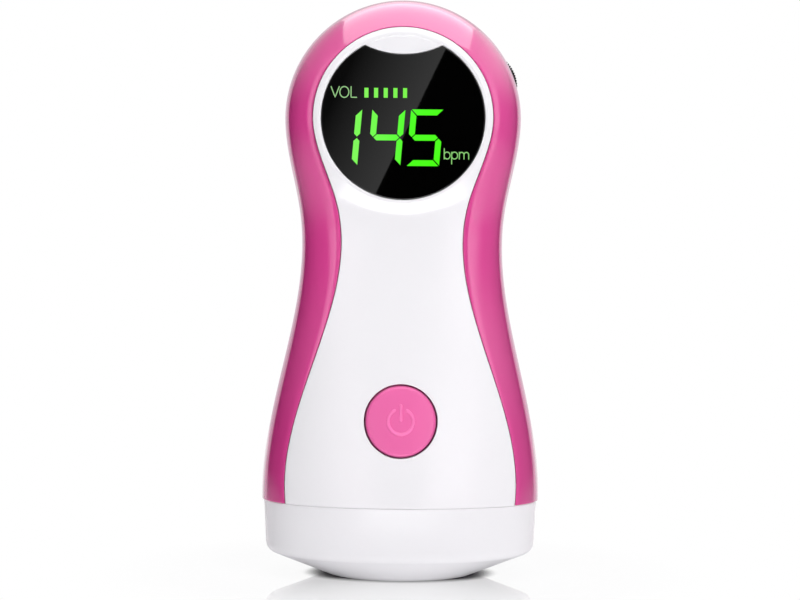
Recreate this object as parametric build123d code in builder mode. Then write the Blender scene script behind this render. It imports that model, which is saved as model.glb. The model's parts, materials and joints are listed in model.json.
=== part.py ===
"""Hand-held fetal doppler monitor, as an assembly of its separate pieces.

Millimetres. X runs to the right, the display faces -Y and +Z is up. The origin is the middle of the
flat transducer face that the monitor stands on.
"""
from build123d import *
from math import cos, hypot, radians, sin, tan
import os

# ---------------------------------------------------------------- body form
overall_height = 144.0
head_radius = 29.7
head_half_depth = 17.0
head_fullness = 0.81
neck_half_width = 25.7
neck_half_depth = 14.4
neck_drop = 24.2
seam_height = 18.6
base_half_width = 34.8
base_half_depth = 27.0
base_fullness = 0.58
base_width_slope = 0.03
base_depth_slope = -0.06
section_count = 9
panel_points = 8
halvings = 40
edge_tolerance = 0.01

# ---------------------------------------------------------------- shells
wall = 2.2
seam_gap = 0.1
lap_width = 1.4
lap_clearance = 0.15
glue_gap = 0.15
fit_clearance = 0.05
move_clearance = 0.3

# ---------------------------------------------------------------- front panel outline
panel_head_radius = 22.2
panel_head_drop = 0.6
panel_neck_half_width = 16.2
panel_neck_drop = 21.3
panel_base_half_width = 28.1
panel_base_slope = 0.12

# ---------------------------------------------------------------- display
window_radius = 20.1
window_drop = 0.8
window_face = 15.8
window_thickness = 1.6
window_clearance = 0.12
window_edge_round = 0.2
crescent_radius = 21.9
crescent_depth = 4.55
crescent_groove_width = 0.22
crescent_groove_depth = 0.25
bezel_flat_width = 0.9
bezel_slope_width = 3.6
bezel_slope_drop = 2.7
gasket_thickness = 0.3
gasket_overlap = 1.6
frame_floor_thickness = 1.5
module_width = 26.6
module_height = 20.4
module_drop = 2.6
module_clearance = 0.3
digit_height = 13.9
digit_width = 8.1
digit_stroke = 1.45
digit_slant = 4.8
digit_base_drop = 11.85
digit_half_gap = 0.18
digit_left_edges = (-19.29, -8.71, 0.79)
inlay_depth = 0.35
inlay_clearance = 0.03
bar_count = 5
bar_width = 1.0
bar_height = 2.4
bar_pitch = 2.37
bar_first_x = -9.05
bar_rise = 6.05

# ---------------------------------------------------------------- power button
button_rise = 20.8
button_radius = 8.55
button_gap = 0.4
button_proud = 0.3
button_edge_round = 0.8
button_travel = 0.5
button_wall = 1.7
button_skirt_wall = 1.3
button_flange_width = 1.3
button_flange_thickness = 1.0
button_stem_radius = 2.2
collar_wall = 1.2
collar_drop = 5.25
flange_gap = 0.2
symbol_radius = 3.05
symbol_line = 0.75
symbol_gap_angle = 30
symbol_bar_top = 4.15
symbol_height = 0.25
switch_size = 6.0
switch_height = 3.5
plunger_radius = 1.75
plunger_projection = 1.4
plunger_seat_depth = 2.2
switch_board_width = 31.0
switch_board_height = 13.0
switch_board_thickness = 1.6
switch_post_spacing = 26.0

# ---------------------------------------------------------------- posts and screws
post_radius = 2.2
pilot_radius = 0.85
pilot_clearance = 0.05
pilot_depth = 5.0
small_screw_head_radius = 1.7
small_screw_head_height = 1.2
column_radius = 2.9
column_floor = 2.0
case_screw_radius = 1.1
case_screw_length = 9.0
case_screw_head_radius = 2.1
case_screw_head_height = 1.6
case_recess_clearance = 0.25
lower_screw_x = 20.0
lower_screw_rise = 8.4
upper_screw_x = 18.0
upper_screw_rise = 12.0
cross_slot_width = 0.5
cross_slot_depth = 0.6
cross_slot_share = 0.7

# ---------------------------------------------------------------- main board and its components
board_front = 5.0
board_thickness = 1.6
board_head_radius = 24.6
board_strip_half_width = 12.2
board_post_x = 15.8
board_post_drop = 9.1
board_low_post_rise = 26.0
board_tail_rise = 12.0
chip_size = 9.0
chip_thickness = 1.6
amplifier_size = 5.0
capacitor_radius = 2.5
capacitor_height = 5.4
capacitor_pitch = 6.6
capacitor_x = 7.5
connector_width = 8.0
connector_height = 6.0
connector_depth = 4.0

# ---------------------------------------------------------------- volume wheel
wheel_radius = 8.6
wheel_proud = 0.45
wheel_angle = 23.0
wheel_front = 0.7
wheel_thickness = 2.8
wheel_tooth_count = 84
wheel_notch_radius = 0.2
shaft_radius = 1.45
shaft_clearance = 0.05
potentiometer_radius = 4.5
potentiometer_clearance = 0.4
potentiometer_floor = 0.6
wheel_screw_head_radius = 1.8
wheel_screw_head_height = 0.7
wheel_screw_radius = 0.7
wheel_screw_length = 3.2
wheel_hub_recess = 0.95

# ---------------------------------------------------------------- earphone jack
jack_bore_radius = 1.8
jack_bore_length = 11.5
jack_barrel_wall = 1.1
jack_recess = 0.25
jack_hole_clearance = 0.12
jack_rise_from_board = 6.4
jack_body_size = 9.0
jack_body_inset = 4.4
jack_end_wall = 2.5

# ---------------------------------------------------------------- speaker
speaker_radius = 14.0
speaker_flange_width = 1.4
speaker_flange_thickness = 1.0
speaker_height = 6.9
speaker_seat = 13.7
speaker_collar_wall = 1.4
speaker_collar_depth = 5.2
speaker_seat_width = 1.2
basket_floor_radius = 10.3
basket_floor_thickness = 0.6
magnet_radius = 8.0
magnet_height = 2.3
cone_thickness = 0.3
cone_depth = 1.1
cone_rim_recess = 0.4
cone_cap_radius = 4.0
cone_roll_width = 3.0
basket_shoulder = 1.0
grille_hole_radius = 0.85
grille_pitch = 3.2
grille_rings = 2

# ---------------------------------------------------------------- batteries, tray and door
cell_radius = 5.25
cell_length = 44.5
cell_nub_radius = 1.9
cell_nub_height = 1.0
cell_edge_round = 0.4
cell_gap = 0.4
bay_clearance = 0.1
bay_top_drop = 23.6
contact_thickness = 0.4
contact_size = 8.0
spring_length = 4.1
spring_wire = 0.6
spring_base_radius = 3.8
spring_tip_radius = 2.8
tray_wall = 1.3
tray_floor = 1.0
tray_front = 0.9
tray_flange_width = 2.4
tray_flange_thickness = 1.3
door_half_width = 13.4
door_gap = 0.25
door_corner_round = 2.4
door_top_margin = 1.5
door_bottom_margin = 4.3
door_edge_round = 0.3
door_tab_x = 7.5
door_tab_width = 4.0
door_tab_reach = 2.0
door_tab_thickness = 1.2
door_tab_root = 1.3
door_groove_count = 4
door_groove_pitch = 2.2
door_groove_width = 0.9
door_groove_length = 12.0
door_groove_depth = 0.5
door_groove_margin = 5.0

# ---------------------------------------------------------------- base cap and probe
cap_step = 0.5
cap_corner_height = 6.0
cap_corner_half_width = 33.6
cap_corner_half_depth = 25.8
cap_corner_round = 3.0
cap_wall = 2.8
cap_floor_rise = 2.2
cap_floor_radius = 19.0
spigot_height = 3.0
spigot_clearance = 0.15
contact_radius = 17.8
circle_fullness = 0.5523
probe_bore_radius = 17.1
probe_flange_radius = 17.75
probe_face_radius = 16.5
probe_face_thickness = 2.6
probe_flange_height = 1.25
probe_seal_recess = 0.2
probe_seal_clearance = 0.02
cable_hole_clearance = 0.1
cup_radius = 15.6
cup_wall = 1.2
cup_height = 6.9
crystal_radius = 13.6
crystal_thickness = 2.0
divider_width = 1.0
backing_thickness = 3.55

# ---------------------------------------------------------------- leads
cable_radius = 1.2
cable_bend_rise = 12.0
cable_straight = 15.0
lead_radius = 0.5
lead_stub = 3.0
lead_bend_share = 0.45
switch_lead_x = 8.0
switch_lead_rise = 4.5
switch_lead_share = 0.5575
speaker_lead_x = 3.5
speaker_lead_drop = 8.5

# ---------------------------------------------------------------- places worked out from the sizes
head_centre = overall_height - head_radius
neck_height = head_centre - neck_drop
form_knots = (seam_height, neck_height, head_centre)
panel_head_height = head_centre - panel_head_drop
panel_neck_height = panel_head_height - panel_neck_drop
panel_knots = (seam_height, panel_neck_height, panel_head_height)
window_height = head_centre - window_drop
button_height = seam_height + button_rise
reach = 2 * base_half_depth
bay_length = cell_length + spring_length + 2 * contact_thickness
bay_top = head_centre - bay_top_drop
bay_bottom = bay_top - bay_length
bay_half_width = 2 * cell_radius + cell_gap / 2 + 2 * bay_clearance
board_back = board_front - board_thickness
board_tail = bay_bottom + board_tail_rise
lower_screw_height = seam_height + lower_screw_rise
upper_screw_height = bay_bottom + upper_screw_rise
wheel_back = wheel_front + wheel_thickness


# ================================================================ form of the body
def hermite(height, low, high, start, end, start_slope, end_slope):
    """Value at a height on the cubic between two heights, with set values and slopes at both."""
    span = high - low
    part = (height - low) / span
    start_share = (2 * part**3 - 3 * part**2 + 1) * start + (part**3 - 2 * part**2 + part) * span * start_slope
    end_share = (3 * part**2 - 2 * part**3) * end + (part**3 - part**2) * span * end_slope
    return start_share + end_share


def waisted(height, knots, values, low_slope):
    """Smooth cubic through base, neck and head values, which levels out at the head."""
    low, middle, high = knots
    lower_span = middle - low
    upper_span = high - middle
    rises = (values[1] - values[0]) / lower_span**2 + (values[2] - values[1]) / upper_span**2
    middle_slope = (3 * rises - low_slope / lower_span) / (2 / lower_span + 2 / upper_span)
    if height > middle:
        return hermite(height, middle, high, values[1], values[2], middle_slope, 0)
    return hermite(height, low, middle, values[0], values[1], low_slope, middle_slope)


def half_width(height):
    """Half of the body's width at a height up to the head's centre."""
    return waisted(height, form_knots, (base_half_width, neck_half_width, head_radius), base_width_slope)


def half_depth(height):
    """Half of the body's depth at a height up to the head's centre."""
    return waisted(height, form_knots, (base_half_depth, neck_half_depth, head_half_depth), base_depth_slope)


def fullness(height):
    """Handle length of the section's curves, from nearly an ellipse at the base to flatter at the head."""
    part = (height - seam_height) / (head_centre - seam_height)
    part = min(max(part, 0), 1)
    return base_fullness + (head_fullness - base_fullness) * part**2 * (3 - 2 * part)


def bezier_value(part, start, start_handle, end_handle, end):
    """Coordinate at a share of the way along a cubic Bezier curve."""
    rest = 1 - part
    return rest**3 * start + 3 * rest**2 * part * start_handle + 3 * rest * part**2 * end_handle + part**3 * end


def oval_reach(across, width, depth, full):
    """Reach of an oval section along its depth, at a distance along its width."""
    low, high = 0, 1
    for _ in range(halvings):
        middle = (low + high) / 2
        if bezier_value(middle, 0, full * width, width, width) < across:
            low = middle
        else:
            high = middle
    return bezier_value(low, depth, depth, full * depth, 0)


def surface_depth(x, height):
    """Distance of the outer surface from the mid plane, at a place in the front view."""
    level = min(height, head_centre)
    across = hypot(x, height - level)
    return oval_reach(across, half_width(level), half_depth(level), fullness(level))


def quarters(width, depth, full):
    """Bezier points of a section's two right-hand quarters, from the front pole to the rear pole."""
    front = [(0, -depth), (full * width, -depth), (width, -full * depth), (width, 0)]
    rear = [(x, -y) for x, y in reversed(front)]
    return front, rear


def lofted(sections, ruled=False):
    """Solid through oval sections, each given as height, half width, half depth and fullness."""
    with BuildPart() as solid:
        for height, width, depth, full in sections:
            front, rear = quarters(width, depth, full)
            with BuildSketch(Plane.XY.offset(height)):
                with BuildLine():
                    for curve in (front, rear):
                        Bezier(*curve)
                    for curve in (rear, front):
                        Bezier(*[(-x, y) for x, y in reversed(curve)])
                make_face()
        loft(ruled=ruled)
    return solid.part


def body_form(inset, bottom):
    """Solid bounded by the body's outer form drawn in by the inset, down to the bottom height."""
    sections = []
    for step in range(section_count):
        height = bottom + (head_centre - bottom) * step / (section_count - 1)
        sections.append((height, half_width(height) - inset, half_depth(height) - inset, fullness(height)))
    trunk = lofted(sections)
    front, rear = quarters(head_radius - inset, head_half_depth - inset, head_fullness)
    with BuildPart() as form:
        add(trunk)
        with BuildSketch(Plane.XY.offset(head_centre)):
            with BuildLine():
                Bezier(*front)
                Bezier(*rear)
                Line(rear[-1], front[0])
            make_face()
        revolve(axis=Axis((0, 0, head_centre), (0, -1, 0)), revolution_arc=180)
    return form.part


def panel_half_width(height):
    """Half of the front panel's width at a height up to its round head."""
    widths = (panel_base_half_width, panel_neck_half_width, panel_head_radius)
    return waisted(height, panel_knots, widths, panel_base_slope)


def panel_block(grow):
    """Block with the front panel's outline grown all round, from the mid plane forwards."""
    bottom = seam_height - 2 * wall
    heights = [bottom + (panel_head_height - bottom) * step / panel_points for step in range(panel_points + 1)]
    right = [(panel_half_width(height) + grow, height) for height in heights]
    left = [(-x, height) for x, height in right]
    with BuildPart() as block:
        with BuildSketch(Plane.XZ):
            with BuildLine():
                Spline(*right)
                ThreePointArc(right[-1], (0, panel_head_height + panel_head_radius + grow), left[-1])
                Spline(*left)
                Line(left[0], right[0])
            make_face()
        extrude(amount=reach)
    return block.part


def rod(x, height, radius, start, end):
    """Round rod along Y between two depths, measured forwards from the mid plane."""
    with BuildPart() as bar:
        with BuildSketch(Plane.XZ.offset(start)):
            with Locations((x, height)):
                Circle(radius)
        extrude(amount=end - start)
    return bar.part


def slab(width, height, centre, start, end):
    """Rectangular slab between two depths, measured forwards from the mid plane."""
    with BuildPart() as plate:
        with BuildSketch(Plane.XZ.offset(start)):
            with Locations(centre):
                Rectangle(width, height)
        extrude(amount=end - start)
    return plate.part


def pan_screw(place, seat, head_radius, head_height, shank_radius, length):
    """Cross-slotted screw along Y whose head sits at a depth and whose shank runs forwards."""
    x, height = place
    with BuildPart() as screw:
        add(rod(x, height, head_radius, seat - head_height, seat))
        add(rod(x, height, shank_radius, seat, seat + length))
        slot_floor = seat - head_height + cross_slot_depth
        slot_length = 2 * head_radius * cross_slot_share
        for size in ((slot_length, cross_slot_width), (cross_slot_width, slot_length)):
            add(slab(*size, place, seat - head_height, slot_floor), mode=Mode.SUBTRACT)
    return screw.part


def lead(points, radius):
    """Round lead along straight runs joined by the largest tangent arcs that the runs allow."""
    places = [Vector(*point) for point in points]
    radii = []
    for before, corner, after in zip(places, places[1:], places[2:]):
        turn = (corner - before).get_angle(after - corner)
        shorter = min((corner - before).length, (after - corner).length)
        radii.append(lead_bend_share * shorter / tan(radians(turn / 2)))
    with BuildPart() as wire:
        with BuildLine() as path:
            FilletPolyline(*places, radius=radii)
        with BuildSketch(Plane(origin=path.line @ 0, z_dir=path.line % 0)):
            Circle(radius)
        sweep()
    return wire.part


def save(piece, name):
    """Label a finished piece and write it to its own file."""
    piece.label = name
    export_step(piece, f"parts/{name}.step")


def save_group(pieces, name):
    """Write several separate solids as one named node."""
    save(Compound(children=pieces), name)


os.makedirs("parts", exist_ok=True)
outer_form = body_form(0, seam_height)
middle_form = body_form(wall / 2, seam_height - wall)
inner_form = body_form(wall, seam_height - wall)
lap_form = body_form(wall / 2 + lap_clearance, seam_height - wall)
liner_form = body_form(wall + glue_gap, seam_height - wall)
panel_form = panel_block(0)
panel_inset_form = panel_block(-seam_gap)

# ================================================================ front cover
lap_reach = lap_width + lap_clearance
with BuildPart() as lap_cutter:
    add(panel_block(lap_width + wall))
    add(panel_inset_form, mode=Mode.SUBTRACT)
    add(lap_form, mode=Mode.SUBTRACT)

bezel_flat_radius = window_radius + bezel_flat_width
bezel_outer_radius = bezel_flat_radius + bezel_slope_width
frame_floor = window_face - window_thickness - gasket_thickness
frame_back = frame_floor - frame_floor_thickness
window_axis = Axis((0, 0, window_height), (0, 1, 0))
with BuildPart() as bezel:
    with BuildSketch(Plane.XY.offset(window_height)):
        with BuildLine():
            Polyline(
                (0, -frame_back),
                (bezel_outer_radius, -frame_back),
                (bezel_outer_radius, -(window_face - bezel_slope_drop)),
                (bezel_flat_radius, -window_face),
                (0, -window_face),
                close=True,
            )
        make_face()
    revolve(axis=window_axis)
    add(panel_inset_form, mode=Mode.INTERSECT)


def window_block(grow, start, end):
    """Block with the window's outline, a disc cut by the crescent's arc, between two depths."""
    crescent_centre = window_height + window_radius - crescent_depth + crescent_radius
    with BuildPart() as block:
        with BuildSketch(Plane.XZ.offset(start)):
            with Locations((0, window_height)):
                Circle(window_radius + grow)
            with Locations((0, crescent_centre)):
                Circle(crescent_radius - grow, mode=Mode.SUBTRACT)
        extrude(amount=end - start)
    return block.part


board_posts = [
    (-board_post_x, window_height - board_post_drop),
    (board_post_x, window_height - board_post_drop),
    (0, bay_bottom + board_low_post_rise),
]
collar_face = surface_depth(0, button_height) - collar_drop
switch_plunger_tip = collar_face - button_flange_thickness - 2 * flange_gap
switch_board_front = switch_plunger_tip - plunger_projection - switch_height
switch_posts = [(side * switch_post_spacing / 2, button_height) for side in (-1, 1)]
case_screw_places = []
for side in (-1, 1):
    case_screw_places.append((side * lower_screw_x, lower_screw_height))
    case_screw_places.append((side * upper_screw_x, upper_screw_height))
button_hole_radius = button_radius + button_gap
collar_radius = button_hole_radius + collar_wall

with BuildPart() as cover_posts:
    for x, height in board_posts:
        add(rod(x, height, post_radius, board_front, reach))
    for x, height in switch_posts:
        add(rod(x, height, post_radius, switch_board_front, reach))
    for x, height in case_screw_places:
        add(rod(x, height, column_radius, 0, reach))
    add(rod(0, button_height, collar_radius, collar_face, reach))
    add(middle_form, mode=Mode.INTERSECT)

with BuildPart() as front_cover:
    add(outer_form)
    add(inner_form, mode=Mode.SUBTRACT)
    add(panel_block(lap_width), mode=Mode.INTERSECT)
    add(lap_cutter.part, mode=Mode.SUBTRACT)
    add(bezel.part)
    add(cover_posts.part)
    add(rod(0, window_height, bezel_flat_radius, window_face, reach), mode=Mode.SUBTRACT)
    add(window_block(window_clearance, frame_floor, reach), mode=Mode.SUBTRACT)
    opening_size = (module_width + 2 * module_clearance, module_height + 2 * module_clearance)
    module_centre = (0, window_height - module_drop)
    add(slab(*opening_size, module_centre, frame_back - wall, reach), mode=Mode.SUBTRACT)
    with BuildSketch(Plane.XZ.offset(window_face)):
        with Locations((0, window_height)):
            Circle(window_radius + crescent_groove_width)
            Circle(window_radius, mode=Mode.SUBTRACT)
        with Locations((0, window_height + window_radius - crescent_depth)):
            Rectangle(reach, reach, align=(Align.CENTER, Align.MIN), mode=Mode.INTERSECT)
    extrude(amount=-crescent_groove_depth, mode=Mode.SUBTRACT)
    add(rod(0, button_height, button_hole_radius, 0, reach), mode=Mode.SUBTRACT)
    for x, height in board_posts:
        pilot_end = board_front + pilot_depth
        add(rod(x, height, pilot_radius + pilot_clearance, board_front, pilot_end), mode=Mode.SUBTRACT)
    for x, height in switch_posts:
        pilot_end = switch_board_front + pilot_depth
        add(rod(x, height, pilot_radius + pilot_clearance, switch_board_front, pilot_end), mode=Mode.SUBTRACT)
    for x, height in case_screw_places:
        add(rod(x, height, case_screw_radius + pilot_clearance, 0, case_screw_length), mode=Mode.SUBTRACT)
save(front_cover.part, "front_cover")

# ================================================================ battery door outline
door_bottom = bay_bottom - door_bottom_margin
door_top = bay_top + door_top_margin
hinge_depth = surface_depth(0, door_bottom)
door_swing_radius = hypot(door_top - door_bottom, hinge_depth - surface_depth(0, door_top))


def door_block(grow):
    """Block with the door's outline grown all round: straight foot and sides, top swept about the hinge."""
    with BuildPart() as block:
        with BuildSketch(Plane.XZ):
            with Locations((0, door_bottom - grow)):
                Rectangle(2 * (door_half_width + grow), 2 * door_swing_radius, align=(Align.CENTER, Align.MIN))
        extrude(amount=-hinge_depth - wall)
        with BuildSketch(Plane.YZ):
            with Locations((hinge_depth, door_bottom)):
                Circle(door_swing_radius + grow)
        extrude(amount=reach, both=True, mode=Mode.INTERSECT)
        corners = block.edges().filter_by(lambda edge: abs(abs(edge.center().X) - door_half_width - grow) < edge_tolerance)
        uprights = corners.filter_by(lambda edge: edge.bounding_box().size.Y > edge.bounding_box().size.Z)
        fillet(uprights, door_corner_round + grow)
    return block.part


# ================================================================ rear shell
with BuildPart() as lap_rebate:
    add(panel_block(lap_reach))
    add(middle_form, mode=Mode.INTERSECT)

wheel_distance = head_radius + wheel_proud - wheel_radius
wheel_x = wheel_distance * cos(radians(wheel_angle))
wheel_height = head_centre + wheel_distance * sin(radians(wheel_angle))
jack_y = jack_rise_from_board - board_back
jack_radius = jack_bore_radius + jack_barrel_wall
collar_end = speaker_seat - speaker_collar_depth
collar_outer = speaker_radius + fit_clearance + speaker_collar_wall

with BuildPart() as shell_columns:
    for x, height in case_screw_places:
        add(rod(x, height, column_radius, -reach, -seam_gap))
    add(rod(0, head_centre, collar_outer, -reach, -collar_end))
    add(rod(0, head_centre, speaker_radius + fit_clearance, -speaker_seat, -collar_end), mode=Mode.SUBTRACT)
    seat_bore = speaker_radius - speaker_seat_width
    add(rod(0, head_centre, seat_bore, -reach, -collar_end), mode=Mode.SUBTRACT)
    add(middle_form, mode=Mode.INTERSECT)

with BuildPart() as grille:
    with BuildSketch(Plane.XZ):
        with Locations((0, head_centre)):
            Circle(grille_hole_radius)
            for ring in range(1, grille_rings + 1):
                with PolarLocations(ring * grille_pitch, 6 * ring):
                    Circle(grille_hole_radius)
    extrude(amount=-reach)

with BuildPart() as rear_shell:
    add(outer_form)
    add(inner_form, mode=Mode.SUBTRACT)
    add(panel_form, mode=Mode.SUBTRACT)
    add(lap_rebate.part, mode=Mode.SUBTRACT)
    add(shell_columns.part)
    add(rod(0, head_centre, speaker_radius + fit_clearance, -speaker_seat, 0), mode=Mode.SUBTRACT)
    add(door_block(door_gap), mode=Mode.SUBTRACT)
    add(grille.part, mode=Mode.SUBTRACT)
    for x, height in case_screw_places:
        recess_radius = case_screw_head_radius + case_recess_clearance
        add(rod(x, height, recess_radius, -reach, -column_floor), mode=Mode.SUBTRACT)
        add(rod(x, height, case_screw_radius + pilot_clearance, -reach, 0), mode=Mode.SUBTRACT)
    slot_radius = wheel_radius + move_clearance
    slot_start = -wheel_back - move_clearance
    slot_end = -wheel_front + move_clearance
    add(rod(wheel_x, wheel_height, slot_radius, slot_start, slot_end), mode=Mode.SUBTRACT)
    with BuildSketch(Plane.YZ):
        with Locations((jack_y, head_centre)):
            Circle(jack_radius + jack_hole_clearance)
    extrude(amount=-reach, mode=Mode.SUBTRACT)
save(rear_shell.part, "rear_shell")

case_screws = []
for place in case_screw_places:
    case_screws.append(
        pan_screw(
            place,
            -column_floor,
            case_screw_head_radius,
            case_screw_head_height,
            case_screw_radius,
            case_screw_length,
        )
    )
save_group(case_screws, "case_screws")

# ================================================================ battery door
with BuildPart() as door_tabs:
    for side in (-1, 1):
        tab_height = door_bottom - door_tab_reach
        with BuildSketch(Plane.XZ):
            with Locations((side * door_tab_x, tab_height)):
                Rectangle(door_tab_width, door_tab_reach + door_tab_root, align=(Align.CENTER, Align.MIN))
        extrude(amount=-reach)
    add(body_form(wall + glue_gap + door_tab_thickness, seam_height - wall), mode=Mode.SUBTRACT)
    add(liner_form, mode=Mode.INTERSECT)

with BuildPart() as door_roots:
    for side in (-1, 1):
        with BuildSketch(Plane.XZ):
            with Locations((side * door_tab_x, door_bottom)):
                Rectangle(door_tab_width, door_tab_root, align=(Align.CENTER, Align.MIN))
        extrude(amount=-reach)
    add(body_form(wall + glue_gap + door_tab_thickness / 2, seam_height - wall), mode=Mode.SUBTRACT)
    add(middle_form, mode=Mode.INTERSECT)

with BuildPart() as door_grooves:
    for step in range(door_groove_count):
        groove_height = door_top - door_groove_margin - step * door_groove_pitch
        with BuildSketch(Plane.XZ):
            with Locations((0, groove_height)):
                SlotOverall(door_groove_length - 2 * step, door_groove_width)
        extrude(amount=-reach)
    add(body_form(door_groove_depth, seam_height), mode=Mode.SUBTRACT)

with BuildPart() as battery_door:
    add(outer_form)
    add(inner_form, mode=Mode.SUBTRACT)
    add(door_block(0), mode=Mode.INTERSECT)
    add(door_roots.part)
    add(door_tabs.part)
    add(door_grooves.part, mode=Mode.SUBTRACT)
save(battery_door.part, "battery_door")

# ================================================================ battery tray, contacts and cells
bay_centre = (0, (bay_bottom + bay_top) / 2)
bay_floor = tray_floor - tray_front
tray_half_width = bay_half_width + tray_wall
tray_length = bay_length + 2 * tray_wall
flange_reach = door_half_width + door_gap - tray_half_width + tray_flange_width - tray_wall
with BuildPart() as tray_flange:
    add(slab(2 * (tray_half_width + flange_reach), tray_length, bay_centre, -reach, 0))
    flange_inset = wall + glue_gap + tray_flange_thickness
    add(body_form(flange_inset, seam_height - wall), mode=Mode.SUBTRACT)

with BuildPart() as battery_tray:
    add(slab(2 * tray_half_width, tray_length, bay_centre, -reach, tray_front))
    add(tray_flange.part)
    add(liner_form, mode=Mode.INTERSECT)
    add(slab(2 * bay_half_width, bay_length, bay_centre, -reach, -bay_floor), mode=Mode.SUBTRACT)
save(battery_tray.part, "battery_tray")

cell_x = cell_radius + cell_gap / 2
cell_y = bay_floor + bay_clearance + cell_radius
contact_plates = []
contact_springs = []
for side in (-1, 1):
    for end in (-1, 1):
        plate_height = (bay_bottom if end < 0 else bay_top) - end * contact_thickness / 2
        with BuildPart() as plate:
            with Locations((side * cell_x, cell_y, plate_height)):
                Box(contact_size, contact_size, contact_thickness)
        contact_plates.append(plate.part)
    spring_end = bay_bottom if side > 0 else bay_top
    direction = 1 if side > 0 else -1
    spring_root = spring_end + direction * contact_thickness
    with BuildPart() as spring:
        spring_plane = Plane(origin=(side * cell_x, cell_y, spring_root), z_dir=(0, 0, direction))
        with BuildSketch(spring_plane):
            Circle(spring_base_radius)
            Circle(spring_base_radius - spring_wire, mode=Mode.SUBTRACT)
        with BuildSketch(spring_plane.offset(spring_length)):
            Circle(spring_tip_radius)
            Circle(spring_tip_radius - spring_wire, mode=Mode.SUBTRACT)
        loft()
    contact_springs.append(spring.part)
save_group(contact_plates, "contact_plates")
save_group(contact_springs, "contact_springs")


def battery_cell(side, foot, direction):
    """Upright round cell with a raised positive nub at the end that it points to."""
    with BuildPart() as cell:
        with BuildSketch(Plane(origin=(side * cell_x, cell_y, foot), z_dir=(0, 0, direction))):
            Circle(cell_radius)
        extrude(amount=cell_length - cell_nub_height)
        fillet(cell.edges(), cell_edge_round)
        nub_foot = foot + direction * (cell_length - cell_nub_height)
        with BuildSketch(Plane(origin=(side * cell_x, cell_y, nub_foot), z_dir=(0, 0, direction))):
            Circle(cell_nub_radius)
        extrude(amount=cell_nub_height)
    return cell.part


save(battery_cell(-1, bay_top - contact_thickness - spring_length, -1), "battery_left")
save(battery_cell(1, bay_bottom + contact_thickness + spring_length, 1), "battery_right")

# ================================================================ display
window_back = window_face - window_thickness
top_edge = digit_height
middle = digit_height / 2
skew = tan(radians(digit_slant))


def segment_points(name):
    """Corners of one lit segment in an upright digit, x from its left edge and y from its foot."""
    gap = digit_half_gap
    stroke = digit_stroke
    right = digit_width
    bar = stroke / 2
    upper_left = [
        (0, top_edge - gap),
        (stroke, top_edge - stroke - gap),
        (stroke, middle + bar + gap),
        (bar, middle + gap),
        (0, middle + bar + gap),
    ]
    top = [
        (gap, top_edge),
        (right - gap, top_edge),
        (right - stroke - gap, top_edge - stroke),
        (stroke + gap, top_edge - stroke),
    ]
    centre = [
        (bar + gap, middle),
        (stroke + gap, middle + bar),
        (right - stroke - gap, middle + bar),
        (right - bar - gap, middle),
        (right - stroke - gap, middle - bar),
        (stroke + gap, middle - bar),
    ]
    shapes = {"upper_left": upper_left, "top": top, "centre": centre}
    shapes["upper_right"] = [(right - x, y) for x, y in upper_left]
    shapes["lower_left"] = [(x, digit_height - y) for x, y in upper_left]
    shapes["lower_right"] = [(right - x, digit_height - y) for x, y in upper_left]
    shapes["foot"] = [(x, digit_height - y) for x, y in top]
    return shapes[name]


digit_segments = (
    ("upper_right", "lower_right"),
    ("upper_left", "upper_right", "centre", "lower_right"),
    ("top", "upper_left", "centre", "lower_right", "foot"),
)
inlay_outlines = []
digit_base = window_height - digit_base_drop
for left_edge, names in zip(digit_left_edges, digit_segments):
    for name in names:
        corners = segment_points(name)
        inlay_outlines.append([(left_edge + x + y * skew, digit_base + y) for x, y in corners])
bar_places = [(bar_first_x + step * bar_pitch, window_height + bar_rise) for step in range(bar_count)]

with BuildPart() as inlay_pockets:
    with BuildSketch(Plane.XZ.offset(window_face - inlay_depth)):
        for outline in inlay_outlines:
            with BuildLine():
                Polyline(*outline, close=True)
            make_face()
        with Locations(*bar_places):
            Rectangle(bar_width, bar_height)
        offset(amount=inlay_clearance)
    extrude(amount=wall)

with BuildPart() as display_window:
    add(window_block(0, window_back, window_face))
    front_edges = display_window.edges().filter_by(lambda edge: abs(edge.center().Y + window_face) < edge_tolerance)
    fillet(front_edges, window_edge_round)
    add(inlay_pockets.part, mode=Mode.SUBTRACT)
save(display_window.part, "display_window")

lit_segments = []
for outline in inlay_outlines:
    with BuildPart() as segment:
        with BuildSketch(Plane.XZ.offset(window_face - inlay_depth)):
            with BuildLine():
                Polyline(*outline, close=True)
            make_face()
        extrude(amount=inlay_depth)
    lit_segments.append(segment.part)
save_group(lit_segments, "lit_digits")
volume_bars = [slab(bar_width, bar_height, place, window_face - inlay_depth, window_face) for place in bar_places]
save_group(volume_bars, "volume_bars")

with BuildPart() as window_gasket:
    add(window_block(-window_clearance, frame_floor, window_back))
    add(slab(*opening_size, module_centre, frame_floor, window_back), mode=Mode.SUBTRACT)
save(window_gasket.part, "window_gasket")
save(slab(module_width, module_height, module_centre, board_front, frame_floor), "display_module")

# ================================================================ power button and its switch
flange_face = collar_face - flange_gap
flange_back = flange_face - button_flange_thickness
button_top_form = body_form(-button_proud, seam_height)
with BuildPart() as button_hollow:
    add(rod(0, button_height, button_radius - button_skirt_wall, 0, reach))
    add(body_form(button_wall, seam_height), mode=Mode.INTERSECT)

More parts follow.
